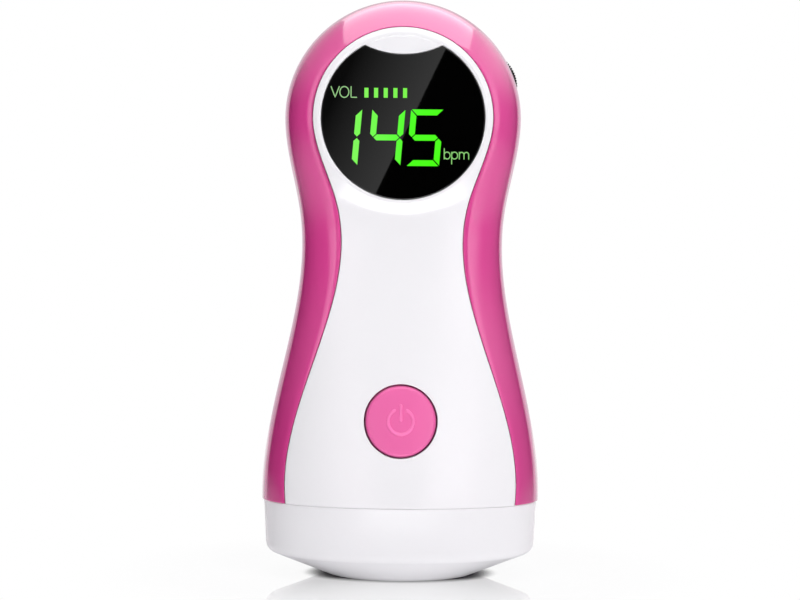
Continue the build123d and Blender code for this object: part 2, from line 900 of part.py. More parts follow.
with BuildPart() as button_symbol:
    with BuildSketch(Plane.XZ):
        with Locations((0, button_height)):
            Circle(symbol_radius + symbol_line / 2)
            Circle(symbol_radius - symbol_line / 2, mode=Mode.SUBTRACT)
            gap_reach = 2 * symbol_radius
            gap_half_width = gap_reach * tan(radians(symbol_gap_angle))
            gap_corners = [(0, 0), (gap_half_width, gap_reach), (-gap_half_width, gap_reach)]
            Polygon(*gap_corners, align=None, mode=Mode.SUBTRACT)
        with Locations((0, button_height + symbol_bar_top / 2)):
            SlotOverall(symbol_bar_top, symbol_line, rotation=90)
    extrude(amount=reach)
    add(body_form(-button_proud - symbol_height, seam_height), mode=Mode.INTERSECT)
    add(body_form(button_wall / 2, seam_height), mode=Mode.SUBTRACT)

with BuildPart() as button_stem:
    add(rod(0, button_height, button_stem_radius, switch_plunger_tip, reach))
    add(body_form(button_wall / 2, seam_height), mode=Mode.INTERSECT)

with BuildPart() as power_button:
    add(rod(0, button_height, button_radius, flange_back, reach))
    add(button_top_form, mode=Mode.INTERSECT)
    rim_edges = power_button.faces().sort_by(Axis.Y)[0].edges()
    fillet(rim_edges, button_edge_round)
    add(rod(0, button_height, button_radius + button_gap + button_flange_width, flange_back, flange_face))
    add(button_hollow.part, mode=Mode.SUBTRACT)
    add(button_stem.part)
    add(button_symbol.part)
save(power_button.part, "power_button")

switch_face = switch_board_front + switch_height
with BuildPart() as switch_plunger:
    add(rod(0, button_height, plunger_radius, switch_face - plunger_seat_depth + button_travel, switch_plunger_tip))
save(switch_plunger.part, "switch_plunger")

with BuildPart() as switch_body:
    add(slab(switch_size, switch_size, (0, button_height), switch_board_front, switch_face))
    well_radius = plunger_radius + fit_clearance
    add(rod(0, button_height, well_radius, switch_face - plunger_seat_depth, switch_face), mode=Mode.SUBTRACT)
save(switch_body.part, "switch_body")

switch_board_back = switch_board_front - switch_board_thickness
with BuildPart() as switch_board:
    board_size = (switch_board_width, switch_board_height)
    add(slab(*board_size, (0, button_height), switch_board_back, switch_board_front))
    for x, height in switch_posts:
        add(rod(x, height, pilot_radius + pilot_clearance, 0, reach), mode=Mode.SUBTRACT)
save(switch_board.part, "switch_board")
small_screw = (small_screw_head_radius, small_screw_head_height, pilot_radius, pilot_depth)
save_group([pan_screw(place, switch_board_back, *small_screw) for place in switch_posts], "switch_board_screws")

# ================================================================ main board and its components
with BuildPart() as main_board:
    with BuildSketch(Plane.XZ.offset(board_back)):
        with Locations((0, head_centre)):
            Circle(board_head_radius)
        with Locations((0, board_tail)):
            strip_size = (2 * board_strip_half_width, head_centre - board_tail)
            Rectangle(*strip_size, align=(Align.CENTER, Align.MIN))
        with Locations(*board_posts):
            Circle(pilot_radius + pilot_clearance, mode=Mode.SUBTRACT)
    extrude(amount=board_thickness)
save(main_board.part, "main_board")
save_group([pan_screw(place, board_back, *small_screw) for place in board_posts], "board_screws")

processor_height = head_centre - board_head_radius - chip_size
save(
    slab(chip_size, chip_size, (0, processor_height), board_front, board_front + chip_thickness),
    "processor_chip",
)
amplifier_height = bay_top + tray_wall + amplifier_size
save(
    slab(amplifier_size, amplifier_size, (0, amplifier_height), board_back - chip_thickness, board_back),
    "amplifier_chip",
)
capacitor_level = board_tail + 2 * connector_height
capacitor_places = []
for side in (-1, 1):
    for row in (0, 1):
        capacitor_places.append((side * capacitor_x, capacitor_level + row * capacitor_pitch))
capacitor_tip = board_front + capacitor_height
save_group([rod(*place, capacitor_radius, board_front, capacitor_tip) for place in capacitor_places], "capacitors")
connector_middle = board_tail + connector_height / 2
connector_tip = board_front + connector_depth
save(
    slab(connector_width, connector_height, (0, connector_middle), board_front, connector_tip),
    "probe_connector",
)

# ================================================================ volume wheel and potentiometer
pot_face = -wheel_front + potentiometer_clearance
hub_floor = wheel_hub_recess - wheel_back
with BuildPart() as volume_wheel:
    with BuildSketch(Plane.XZ.offset(-wheel_back)):
        with Locations((wheel_x, wheel_height)):
            Circle(wheel_radius)
            with PolarLocations(wheel_radius, wheel_tooth_count):
                Circle(wheel_notch_radius, mode=Mode.SUBTRACT)
            Circle(shaft_radius + shaft_clearance, mode=Mode.SUBTRACT)
    extrude(amount=wheel_thickness)
    head_recess = wheel_screw_head_radius + case_recess_clearance
    add(rod(wheel_x, wheel_height, head_recess, -wheel_back, hub_floor), mode=Mode.SUBTRACT)
save(volume_wheel.part, "volume_wheel")

shaft_foot = board_back - potentiometer_floor
with BuildPart() as volume_shaft:
    add(rod(wheel_x, wheel_height, shaft_radius, hub_floor, shaft_foot - fit_clearance))
    bore_end = hub_floor + wheel_screw_length + fit_clearance
    bore_radius = wheel_screw_radius + pilot_clearance
    add(rod(wheel_x, wheel_height, bore_radius, hub_floor, bore_end), mode=Mode.SUBTRACT)
save(volume_shaft.part, "volume_shaft")

wheel_screw_sizes = (
    wheel_screw_head_radius,
    wheel_screw_head_height,
    wheel_screw_radius,
    wheel_screw_length,
)
save(pan_screw((wheel_x, wheel_height), hub_floor, *wheel_screw_sizes), "wheel_screw")

with BuildPart() as volume_potentiometer:
    add(rod(wheel_x, wheel_height, potentiometer_radius, pot_face, board_back))
    add(rod(wheel_x, wheel_height, shaft_radius + shaft_clearance, pot_face, shaft_foot), mode=Mode.SUBTRACT)
save(volume_potentiometer.part, "volume_potentiometer")

# ================================================================ earphone jack
jack_mouth = jack_recess - oval_reach(jack_y, head_half_depth, head_radius, head_fullness)
barrel_end = jack_mouth + jack_bore_length
jack_end = barrel_end + jack_end_wall
jack_face = jack_body_inset - head_radius
with BuildPart() as earphone_jack:
    with BuildSketch(Plane.YZ.offset(jack_face)):
        with Locations((-board_back, head_centre)):
            jack_width = board_back + jack_y + jack_body_size / 2
            Rectangle(jack_width, jack_body_size, align=(Align.MIN, Align.CENTER))
    extrude(amount=jack_end - jack_face)
    with BuildSketch(Plane.YZ.offset(jack_face)):
        with Locations((jack_y, head_centre)):
            Circle(jack_radius + fit_clearance)
    extrude(amount=barrel_end - jack_face, mode=Mode.SUBTRACT)
save(earphone_jack.part, "earphone_jack")

with BuildPart() as jack_barrel:
    with BuildSketch(Plane.YZ.offset(jack_mouth)):
        with Locations((jack_y, head_centre)):
            Circle(jack_radius)
            Circle(jack_bore_radius, mode=Mode.SUBTRACT)
    extrude(amount=jack_bore_length)
save(jack_barrel.part, "jack_barrel")

# ================================================================ speaker
speaker_axis = Axis((0, 0, head_centre), (0, 1, 0))
flange_level = speaker_seat - speaker_flange_thickness
basket_back = speaker_seat - speaker_height + magnet_height
basket_floor = basket_back + basket_floor_thickness
flange_bore = speaker_radius - speaker_flange_width
with BuildPart() as speaker_frame:
    with BuildSketch(Plane.XY.offset(head_centre)):
        with BuildLine():
            Polyline(
                (0, basket_back),
                (basket_floor_radius, basket_back),
                (speaker_radius - basket_shoulder, flange_level),
                (speaker_radius, flange_level),
                (speaker_radius, speaker_seat),
                (flange_bore, speaker_seat),
                (flange_bore, flange_level + cone_thickness),
                (basket_floor_radius - cone_thickness, basket_floor),
                (0, basket_floor),
                close=True,
            )
        make_face()
    revolve(axis=speaker_axis)
save(speaker_frame.part, "speaker_frame")

cone_rim_radius = flange_bore - fit_clearance
cone_rim_level = speaker_seat - cone_rim_recess
cone_line = [
    (0, cone_rim_level - cone_depth),
    (cone_cap_radius, cone_rim_level - cone_depth),
    (cone_rim_radius - cone_roll_width, cone_rim_level),
    (cone_rim_radius, cone_rim_level),
]
with BuildPart() as speaker_cone:
    with BuildSketch(Plane.XY.offset(head_centre)):
        with BuildLine():
            Polyline(*cone_line, *[(x, y - cone_thickness) for x, y in reversed(cone_line)], close=True)
        make_face()
    revolve(axis=speaker_axis)
save(speaker_cone.part, "speaker_cone")
save(rod(0, head_centre, magnet_radius, -basket_back, magnet_height - basket_back), "speaker_magnet")

# ================================================================ base cap
cap_top = seam_height - seam_gap
with BuildPart() as base_cap:
    cap_sections = [
        (0, contact_radius, contact_radius, circle_fullness),
        (cap_corner_height, cap_corner_half_width, cap_corner_half_depth, base_fullness),
        (cap_top, base_half_width - cap_step, base_half_depth - cap_step, base_fullness),
    ]
    add(lofted(cap_sections, ruled=True))
    corner_edges = base_cap.edges().filter_by(lambda edge: abs(edge.center().Z - cap_corner_height) < edge_tolerance)
    fillet(corner_edges, cap_corner_round)
    spigot_inset = wall + spigot_clearance
    spigot_sections = []
    for height in (seam_height - wall, seam_height + spigot_height):
        spigot_size = (half_width(height) - spigot_inset, half_depth(height) - spigot_inset)
        spigot_sections.append((height, *spigot_size, base_fullness))
    add(lofted(spigot_sections, ruled=True))
    inner_half_width = cap_corner_half_width - cap_wall
    cone_run = (inner_half_width - cap_floor_radius) / (cap_corner_half_width - contact_radius)
    cavity_sections = [
        (cap_floor_rise, cap_floor_radius, cap_floor_radius, circle_fullness),
        (
            cap_floor_rise + cap_corner_height * cone_run,
            inner_half_width,
            cap_corner_half_depth - cap_wall,
            base_fullness,
        ),
        (
            seam_height + 2 * spigot_height,
            base_half_width - cap_step - cap_wall,
            base_half_depth - cap_step - cap_wall,
            base_fullness,
        ),
    ]
    add(lofted(cavity_sections, ruled=True), mode=Mode.SUBTRACT)
    with BuildSketch():
        Circle(probe_bore_radius)
    extrude(amount=seam_height, mode=Mode.SUBTRACT)
    with BuildSketch(Plane.XY.offset(probe_flange_height - fit_clearance)):
        Circle(probe_flange_radius + fit_clearance)
    extrude(amount=seam_height, mode=Mode.SUBTRACT)
save(base_cap.part, "base_cap")

# ================================================================ ultrasound probe
with BuildPart() as transducer_face:
    with BuildSketch():
        Circle(probe_face_radius)
    extrude(amount=probe_face_thickness)
    with BuildSketch(Plane.XY.offset(probe_flange_height)):
        Circle(probe_flange_radius)
    extrude(amount=probe_face_thickness - probe_flange_height)
save(transducer_face.part, "transducer_face")

with BuildPart() as transducer_seal:
    with BuildSketch(Plane.XY.offset(probe_seal_recess)):
        Circle(probe_bore_radius - probe_seal_clearance)
        Circle(probe_face_radius + probe_seal_clearance, mode=Mode.SUBTRACT)
    extrude(amount=probe_flange_height - probe_seal_recess)
save(transducer_seal.part, "transducer_seal")

crystal_top = probe_face_thickness + crystal_thickness
backing_top = crystal_top + backing_thickness
cup_top = probe_face_thickness + cup_height
for side, name in ((-1, "transmit_crystal"), (1, "receive_crystal")):
    with BuildPart() as crystal:
        with BuildSketch(Plane.XY.offset(probe_face_thickness)):
            Circle(crystal_radius)
            with Locations((side * divider_width / 2, 0)):
                half_align = Align.MIN if side > 0 else Align.MAX
                Rectangle(reach, reach, align=(half_align, Align.CENTER), mode=Mode.INTERSECT)
        extrude(amount=crystal_thickness)
    save(crystal.part, name)

with BuildPart() as crystal_divider:
    with BuildSketch(Plane.XY.offset(probe_face_thickness)):
        Rectangle(divider_width, 2 * crystal_radius)
    extrude(amount=crystal_thickness)
save(crystal_divider.part, "crystal_divider")

with BuildPart() as crystal_backing:
    with BuildSketch(Plane.XY.offset(crystal_top)):
        Circle(cup_radius - cup_wall - fit_clearance)
    extrude(amount=backing_thickness)
save(crystal_backing.part, "crystal_backing")

with BuildPart() as transducer_cup:
    with BuildSketch(Plane.XY.offset(probe_face_thickness)):
        Circle(cup_radius)
    extrude(amount=cup_height)
    with BuildSketch(Plane.XY.offset(probe_face_thickness)):
        Circle(cup_radius - cup_wall)
    extrude(amount=cup_height - cup_wall, mode=Mode.SUBTRACT)
    with BuildSketch(Plane.XY.offset(probe_face_thickness)):
        Circle(cable_radius + cable_hole_clearance)
    extrude(amount=cup_height, mode=Mode.SUBTRACT)
save(transducer_cup.part, "transducer_cup")

# ================================================================ leads held inside
cable_depth = board_front + connector_depth / 2
probe_cable_points = [
    (0, 0, backing_top),
    (0, 0, cup_top + cable_bend_rise),
    (0, -cable_depth, board_tail - cable_straight),
    (0, -cable_depth, board_tail),
]
save(lead(probe_cable_points, cable_radius), "transducer_cable")

switch_lead_depth = switch_board_back - switch_lead_share * (switch_board_back - board_front)
switch_lead_points = [
    (switch_lead_x, -switch_board_back, button_height + switch_lead_rise),
    (switch_lead_x, -switch_lead_depth, button_height + switch_lead_rise),
    (switch_lead_x, -switch_lead_depth, board_tail + switch_lead_rise),
    (switch_lead_x, -board_front, board_tail + switch_lead_rise),
]
speaker_lead_top = head_centre - speaker_lead_drop
speaker_lead_points = [
    (speaker_lead_x, basket_back, speaker_lead_top),
    (speaker_lead_x, basket_back - magnet_height - lead_stub / 2, speaker_lead_top),
    (speaker_lead_x, basket_back - magnet_height - lead_stub / 2, speaker_lead_top - lead_stub),
    (speaker_lead_x, -board_back, speaker_lead_top - lead_stub),
]
tray_top = bay_top + tray_wall
battery_lead_points = [
    (cell_x, cell_y, tray_top),
    (cell_x, cell_y, tray_top + lead_stub),
    (cell_x, -board_back, tray_top + lead_stub),
]
lead_groups = (
    ("switch_leads", switch_lead_points),
    ("speaker_leads", speaker_lead_points),
    ("battery_leads", battery_lead_points),
)
for name, points in lead_groups:
    save_group([lead([(side * x, y, z) for x, y, z in points], lead_radius) for side in (-1, 1)], name)
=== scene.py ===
"""Looks of a hand-held fetal doppler monitor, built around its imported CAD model.

Sizes are worked out in millimetres and put into the meshes in metres. X runs to the right, the display
faces -Y, +Z is up, and the origin is the middle of the probe face that the monitor stands on.
"""
import json
from math import cos, pi, radians, sin

import bmesh
import bpy
import numpy as np
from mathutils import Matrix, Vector

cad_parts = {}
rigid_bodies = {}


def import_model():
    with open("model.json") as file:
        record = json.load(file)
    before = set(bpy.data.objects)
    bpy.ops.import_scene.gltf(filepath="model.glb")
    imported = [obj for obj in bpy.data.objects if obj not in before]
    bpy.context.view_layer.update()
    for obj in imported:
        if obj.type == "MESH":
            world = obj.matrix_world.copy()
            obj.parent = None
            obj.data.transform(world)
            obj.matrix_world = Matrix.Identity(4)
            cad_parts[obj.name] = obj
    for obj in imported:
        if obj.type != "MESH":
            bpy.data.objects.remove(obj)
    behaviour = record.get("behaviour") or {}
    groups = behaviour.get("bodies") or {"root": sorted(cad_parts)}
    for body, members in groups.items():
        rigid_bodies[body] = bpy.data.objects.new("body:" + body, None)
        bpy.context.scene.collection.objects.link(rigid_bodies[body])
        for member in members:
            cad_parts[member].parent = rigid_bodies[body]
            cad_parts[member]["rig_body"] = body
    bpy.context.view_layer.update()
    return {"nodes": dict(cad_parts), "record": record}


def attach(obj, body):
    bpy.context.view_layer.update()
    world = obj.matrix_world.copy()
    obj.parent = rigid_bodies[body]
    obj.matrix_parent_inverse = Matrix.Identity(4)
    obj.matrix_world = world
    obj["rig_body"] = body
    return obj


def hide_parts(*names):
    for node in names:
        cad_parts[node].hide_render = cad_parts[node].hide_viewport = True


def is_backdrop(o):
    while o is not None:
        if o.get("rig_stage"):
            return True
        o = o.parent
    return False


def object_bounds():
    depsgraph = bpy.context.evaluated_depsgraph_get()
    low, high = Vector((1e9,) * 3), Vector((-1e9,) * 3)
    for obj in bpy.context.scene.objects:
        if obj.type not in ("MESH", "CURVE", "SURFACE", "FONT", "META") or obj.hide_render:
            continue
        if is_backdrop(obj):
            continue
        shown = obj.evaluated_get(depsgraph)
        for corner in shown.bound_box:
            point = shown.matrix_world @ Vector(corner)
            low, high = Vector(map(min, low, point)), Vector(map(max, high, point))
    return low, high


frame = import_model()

MM = 0.001
nodes = frame["nodes"]
slots = {row["node"]: row["material_slot"] for row in frame["record"]["subparts"]}

# -------- sizes of the body, in mm
HEIGHT = 144.0
HEAD_RADIUS, HEAD_DEPTH, HEAD_FULLNESS = 29.7, 17.0, 0.81
NECK_WIDTH, NECK_DEPTH, NECK_DROP = 25.7, 14.4, 24.2
SEAM, BASE_WIDTH, BASE_DEPTH, BASE_FULLNESS = 18.6, 34.8, 27.0, 0.58
BASE_WIDTH_SLOPE, BASE_DEPTH_SLOPE = 0.03, -0.06
HEAD_Z = HEIGHT - HEAD_RADIUS
NECK_Z = HEAD_Z - NECK_DROP
WALL, GAP, ROLL, SOFT_ROLL = 2.2, 0.07, 0.22, 0.3
CIRCLE = 0.5523  # the fullness at which an oval is round

PANEL_RADIUS, PANEL_NECK, PANEL_BASE, PANEL_SLOPE = 22.2, 16.2, 28.1, 0.12
PANEL_Z = HEAD_Z - 0.6
PANEL_NECK_Z = PANEL_Z - 21.3

WINDOW_Z, WINDOW_RADIUS, WINDOW_FACE, WINDOW_GAP = HEAD_Z - 0.8, 20.1, 15.8, 0.12
CRESCENT_RADIUS, CRESCENT_DEPTH = 21.9, 4.55
CRESCENT_Z = WINDOW_Z + WINDOW_RADIUS - CRESCENT_DEPTH + CRESCENT_RADIUS
BEZEL_FLAT, BEZEL_SLOPE, BEZEL_SOFT, BEZEL_PROUD = WINDOW_RADIUS + 0.9, 0.52, 0.22, 0.6

BUTTON_Z, BUTTON_RADIUS, BUTTON_GAP, BUTTON_PROUD = SEAM + 20.8, 8.55, 0.4, 0.3
BAY_TOP = HEAD_Z - 23.6
BAY_BOTTOM = BAY_TOP - 49.4
DOOR_BOTTOM, DOOR_TOP, DOOR_HALF = BAY_BOTTOM - 4.3, BAY_TOP + 1.5, 13.4
DOOR_CORNER, DOOR_GAP = 2.4, 0.25

WHEEL_RADIUS, WHEEL_PROUD, WHEEL_ANGLE = 8.97, 0.82, radians(23.0)
wheel_distance = HEAD_RADIUS + WHEEL_PROUD - WHEEL_RADIUS
WHEEL_X = wheel_distance * cos(WHEEL_ANGLE)
WHEEL_Z = HEAD_Z + wheel_distance * sin(WHEEL_ANGLE)


# ======== form of the body
def waisted(z, knots, values, low_slope):
    """Cubic through base, neck and head values with a shared slope at the neck, level at the head."""
    low, mid, high = knots
    a, b = mid - low, high - mid
    rises = (values[1] - values[0]) / a**2 + (values[2] - values[1]) / b**2
    slope = (3 * rises - low_slope / a) / (2 / a + 2 / b)

    def cubic(z0, span, start, end, slope0, slope1):
        t = (z - z0) / span
        return (
            (2 * t**3 - 3 * t**2 + 1) * start
            + (t**3 - 2 * t**2 + t) * span * slope0
            + (3 * t**2 - 2 * t**3) * end
            + (t**3 - t**2) * span * slope1
        )

    upper = cubic(mid, b, values[1], values[2], slope, 0.0)
    lower = cubic(low, a, values[0], values[1], low_slope, slope)
    return np.where(z > mid, upper, lower)


def half_width(z):
    """Half of the body's width at heights up to the head's centre."""
    return waisted(z, (SEAM, NECK_Z, HEAD_Z), (BASE_WIDTH, NECK_WIDTH, HEAD_RADIUS), BASE_WIDTH_SLOPE)


def half_depth(z):
    """Half of the body's depth at heights up to the head's centre."""
    return waisted(z, (SEAM, NECK_Z, HEAD_Z), (BASE_DEPTH, NECK_DEPTH, HEAD_DEPTH), BASE_DEPTH_SLOPE)


def panel_half(z):
    """Half of the front panel's width at heights up to its round head."""
    return waisted(z, (SEAM, PANEL_NECK_Z, PANEL_Z), (PANEL_BASE, PANEL_NECK, PANEL_RADIUS), PANEL_SLOPE)


def fullness(z):
    """Handle length of the section's curves, eased from the base's value to the head's."""
    t = np.clip((z - SEAM) / (HEAD_Z - SEAM), 0, 1)
    return BASE_FULLNESS + (HEAD_FULLNESS - BASE_FULLNESS) * t**2 * (3 - 2 * t)


def bezier(t, a, b, c, d):
    """Cubic Bezier value: the four control values weighted by the powers of t and 1 - t."""
    r = 1 - t
    return r**3 * a + 3 * r**2 * t * b + 3 * r * t**2 * c + t**3 * d


def halved(low, high, beyond, rounds):
    """Where a test turns true between two bounds, by halving the interval."""
    for _ in range(rounds):
        mid = (low + high) / 2
        past = beyond(mid)
        low, high = np.where(past, low, mid), np.where(past, mid, high)
    return (low + high) / 2


def share_at(across, width, full):
    """Share along an oval's quarter, from its pole, at which the width reaches the distance across."""
    ends = np.zeros_like(across), np.ones_like(across)
    return halved(*ends, lambda t: bezier(t, 0, full * width, width, width) >= across, 34)


def depth_at(x, z):
    """Depth of the body's surface at places of the front or rear view."""
    level = np.minimum(z, HEAD_Z)
    depth, full = half_depth(level), fullness(level)
    share = share_at(np.hypot(x, z - level), half_width(level), full)
    return bezier(share, depth, depth, full * depth, 0)


def rolled(distance, radius=ROLL):
    """Drop of a rounded edge: a quarter circle of the radius, from the edge inwards."""
    inside = np.clip(radius - distance, 0, radius)
    return radius - np.sqrt(radius**2 - inside**2)


# ======== meshes from grids
def listed(grids):
    """The points of several grids in one list."""
    return np.concatenate([grid.reshape(-1, grid.shape[-1]) for grid in grids])


def points_at(*coordinates):
    """Points from their coordinates, each of which is an array or one value for all."""
    return np.stack(np.broadcast_arrays(*coordinates), axis=-1)


def welded(grids, keys=None):
    """Joins grids where their keys meet: the points, the quads between them, and each point's source.

    The keys are the points themselves, unless others are given, such as places in the front view.
    """
    quads, start = [], 0
    for grid in grids:
        number = start + np.arange(grid[..., 0].size).reshape(grid.shape[:2])
        corners = (number[:-1, :-1], number[:-1, 1:], number[1:, 1:], number[1:, :-1])
        quads.append(np.stack([c.ravel() for c in corners], axis=1))
        start += number.size
    rounded = np.round(listed(keys or grids), 3)
    _, source, number = np.unique(rounded, axis=0, return_index=True, return_inverse=True)
    return listed(grids)[source], number.reshape(-1)[np.concatenate(quads)], source


def split_faces(quads):
    """Quads with four different corners, and triangles from the quads that have two equal ones."""
    same = quads == np.roll(quads, -1, axis=1)
    count = same.sum(axis=1)
    triangles = quads[count == 1][~same[count == 1]].reshape(-1, 3)
    return quads[count == 0].tolist() + triangles.tolist()


def edge_walls(quads, count):
    """Quads that join a sheet's open edges to the same edges of a second sheet numbered after it."""
    pairs = np.stack([quads.ravel(), np.roll(quads, -1, axis=1).ravel()], axis=1)
    pairs = pairs[pairs[:, 0] != pairs[:, 1]]
    code = np.sort(pairs, axis=1) @ np.array([count, 1])
    _, where, times = np.unique(code, return_index=True, return_counts=True)
    start, end = pairs[where[times == 1]].T
    return np.stack([end, start, start + count, end + count], axis=1)


def clean(mesh, turn_out=True):
    """Merges points at one place, and turns all faces outwards unless they already are."""
    work = bmesh.new()
    work.from_mesh(mesh)
    bmesh.ops.remove_doubles(work, verts=work.verts, dist=2e-6)
    if turn_out:
        bmesh.ops.recalc_face_normals(work, faces=work.faces)
    work.to_mesh(mesh)
    work.free()


def new_mesh(name, points, faces):
    """A clean mesh from points in mm and faces."""
    mesh = bpy.data.meshes.new(name)
    mesh.from_pydata((points * MM).tolist(), [], faces)
    clean(mesh)
    return mesh


def dress(mesh, name, material, body, slot, stands_for=(), angle=35):
    """Makes the piece of a mesh, smooth up to an angle, with its material, body and nodes. The slot is not
    used.
    """
    mesh.shade_smooth()
    mesh.set_sharp_from_angle(angle=radians(angle))
    mesh.materials.clear()
    mesh.materials.append(material)
    piece = bpy.data.objects.new(name, mesh)
    bpy.context.scene.collection.objects.link(piece)
    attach(piece, body)
    if stands_for:
        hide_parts(*stands_for)
    return piece


def make_solid(name, grids, *looks):
    """Closed piece from grids that close on themselves."""
    points, quads, _ = welded(grids)
    return dress(new_mesh(name, points, split_faces(quads)), name, *looks)


def make_shell(name, outer, inner, *looks, keys=None):
    """Closed wall between two sheets on the same grids: outer, inner, and the edges between them."""
    points, quads, source = welded(outer, keys)
    count = len(points)
    faces = split_faces(quads) + split_faces(quads[:, ::-1] + count) + edge_walls(quads, count).tolist()
    return dress(new_mesh(name, np.concatenate([points, listed(inner)[source]]), faces), name, *looks)


def closed_grid(rows):
    """A grid from rows that are closed loops, which also runs from its last row back to its first."""
    rows = np.stack(rows)
    looped = np.concatenate([rows, rows[:, :1]], axis=1)
    return np.concatenate([looped, looped[:1]], axis=0)


def full_turn(count):
    """Even angles of a full turn that ends exactly where it starts."""
    return np.append(np.linspace(0, 2 * pi, count + 1)[:-1], 0.0)


def circle_row(radius, turn, x, y, z):
    """Points round a circle that faces the front, with its middle at x and z and its depth at y."""
    return points_at(x + radius * np.cos(turn), y, z + radius * np.sin(turn))


def carry(node, material, angle=35):
    """A merged copy of a CAD node with smooth shading, which stands for the node."""
    mesh = nodes[node].data.copy()
    mesh.name = node + "_finish"
    clean(mesh, turn_out=False)
    dress(mesh, mesh.name, material, nodes[node]["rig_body"], slots[node], (node,), angle)


# ======== materials
def srgb(code):
    """Linear colour with alpha from an sRGB hex code."""
    values = [int(code[k : k + 2], 16) / 255 for k in (1, 3, 5)]
    return tuple(v / 12.92 if v <= 0.04045 else ((v + 0.055) / 1.055) ** 2.4 for v in values) + (1.0,)


def add(tree, kind, inputs=None, **settings):
    """Adds a shader node with its settings and inputs.

    An input is a value, a node that it is linked to by the node's first output, or (node, output).
    """
    made = tree.nodes.new("ShaderNode" + kind)
    for key, value in settings.items():
        setattr(made, key, value)
    for key, value in (inputs or {}).items():
        link = (value, 0) if isinstance(value, bpy.types.Node) else value
        if isinstance(link, tuple) and isinstance(link[0], bpy.types.Node):
            tree.links.new(link[0].outputs[link[1]], made.inputs[key])
        else:
            made.inputs[key].default_value = value
    return made


def mapped(tree, value, start, end, first=0.0, last=1.0, **settings):
    """A value whose run from start to end is carried over to the run from first to last."""
    ends = {"From Min": start, "From Max": end, "To Min": first, "To Max": last}
    return add(tree, "MapRange", {**ends, "Value": value}, **settings)


def noise(tree, place, size, detail):
    """Soft random patches of a size in mm."""
    return add(tree, "TexNoise", {"Scale": 1 / (size * MM), "Detail": detail, "Vector": place})


def toned(tree, colour, shade, share):
    """The colour between two sRGB hex codes by a share of the second."""
    tones = {"A": srgb(colour), "B": srgb(shade), "Factor": share}
    return add(tree, "Mix", tones, data_type="RGBA"), "Result"


def new_material(name):
    """An empty material, its node tree and the object's own coordinates."""
    material = bpy.data.materials.new(name)
    material.use_nodes = True
    tree = material.node_tree
    tree.nodes.clear()
    return material, tree, (add(tree, "TexCoord"), "Object")


def finished(material, shader):
    """Joins a shader to the material's output."""
    add(material.node_tree, "OutputMaterial", {"Surface": shader})
    return material


def set_stops(ramp, blend, stops):
    """Gives a colour ramp its way of blending and its stops: (position, colour), from low to high."""
    ramp.interpolation = blend
    for element, (position, colour) in zip(ramp.elements, (stops[0], stops[-1])):
        element.position, element.color = position, colour
    for position, colour in stops[1:-1]:
        ramp.elements.new(position).color = colour


def moulded(name, colour, shade, roughness, grain, bump, change=0.04, ior=1.53, coat=0.0, chalk=0.0):
    """Moulded plastic: two close tones in soft patches, a faint skin texture and an uneven gloss.

    The grain is the skin texture's size in mm and the bump is its height in mm. The gloss changes with
    the skin, a coat is a clear polished layer, and chalk makes the body's own light even and milky.
    """
    material, tree, place = new_material(name)
    tone = toned(tree, colour, shade, noise(tree, place, 28, 2.0))
    skin = noise(tree, place, grain, 3.0)
    relief = add(tree, "Bump", {"Strength": 0.5, "Distance": bump * MM, "Height": skin})
    gloss = mapped(tree, skin, 0.3, 0.7, roughness - change, roughness + change)
    body = {"Base Color": tone, "IOR": ior, "Roughness": gloss, "Normal": relief}
    layer = {"Diffuse Roughness": chalk, "Coat Weight": coat, "Coat Roughness": 0.03, "Coat IOR": 1.62}
    return finished(material, add(tree, "BsdfPrincipled", {**body, **layer}))


def metal(name, colour, shade, roughness, grain):
    """Plated metal: a fully metallic surface with a fine uneven grain, in mm, and two close tones."""
    material, tree, place = new_material(name)
    plating = noise(tree, place, grain, 4.0)
    tone = toned(tree, colour, shade, plating)
    relief = add(tree, "Bump", {"Strength": 0.6, "Distance": 0.004 * MM, "Height": plating})
    body = {"Base Color": tone, "Metallic": 1.0, "Roughness": roughness, "Normal": relief}
    return finished(material, add(tree, "BsdfPrincipled", body))


def lit_segment(name, colour, pale, strength):
    """Lit resin segment: light that is a little paler towards the upper left, under a thin gloss."""
    material, tree, place = new_material(name)
    cells = noise(tree, place, 3, 1.0)
    parts = add(tree, "SeparateXYZ", {"Vector": place})
    across = mapped(tree, (parts, "X"), -14 * MM, 2 * MM, 0.75, 0.0)
    paler = add(tree, "Math", {0: cells, 1: 0.12, 2: across}, operation="MULTIPLY_ADD")
    tone = toned(tree, colour, pale, paler)
    face = {"Base Color": (0, 0, 0, 1), "Roughness": 0.1, "IOR": 1.45}
    light = {"Emission Strength": strength, "Emission Color": tone}
    return finished(material, add(tree, "BsdfPrincipled", {**face, **light}))


def board_laminate():
    """Glass-epoxy board: green resist over paler copper runs, 0.5 mm wide in rows 3 mm apart."""
    material, tree, place = new_material("glass_epoxy_board_green")
    shades = {"Color1": (0, 0, 0, 1), "Color2": (0.1, 0.1, 0.1, 1), "Mortar": (1, 1, 1, 1)}
    spacing = {"Scale": 1 / (12 * MM), "Mortar Size": 0.02, "Mortar Smooth": 0.2}
    runs = add(tree, "TexBrick", {**spacing, **shades, "Vector": place})
    tone = toned(tree, "#124a2a", "#2c7a49", runs)
    weave = noise(tree, place, 0.5, 2.0)
    relief = add(tree, "Bump", {"Strength": 0.4, "Distance": 0.01 * MM, "Height": weave})
    face = {"Base Color": tone, "Roughness": 0.32, "IOR": 1.55, "Normal": relief}
    return finished(material, add(tree, "BsdfPrincipled", face))


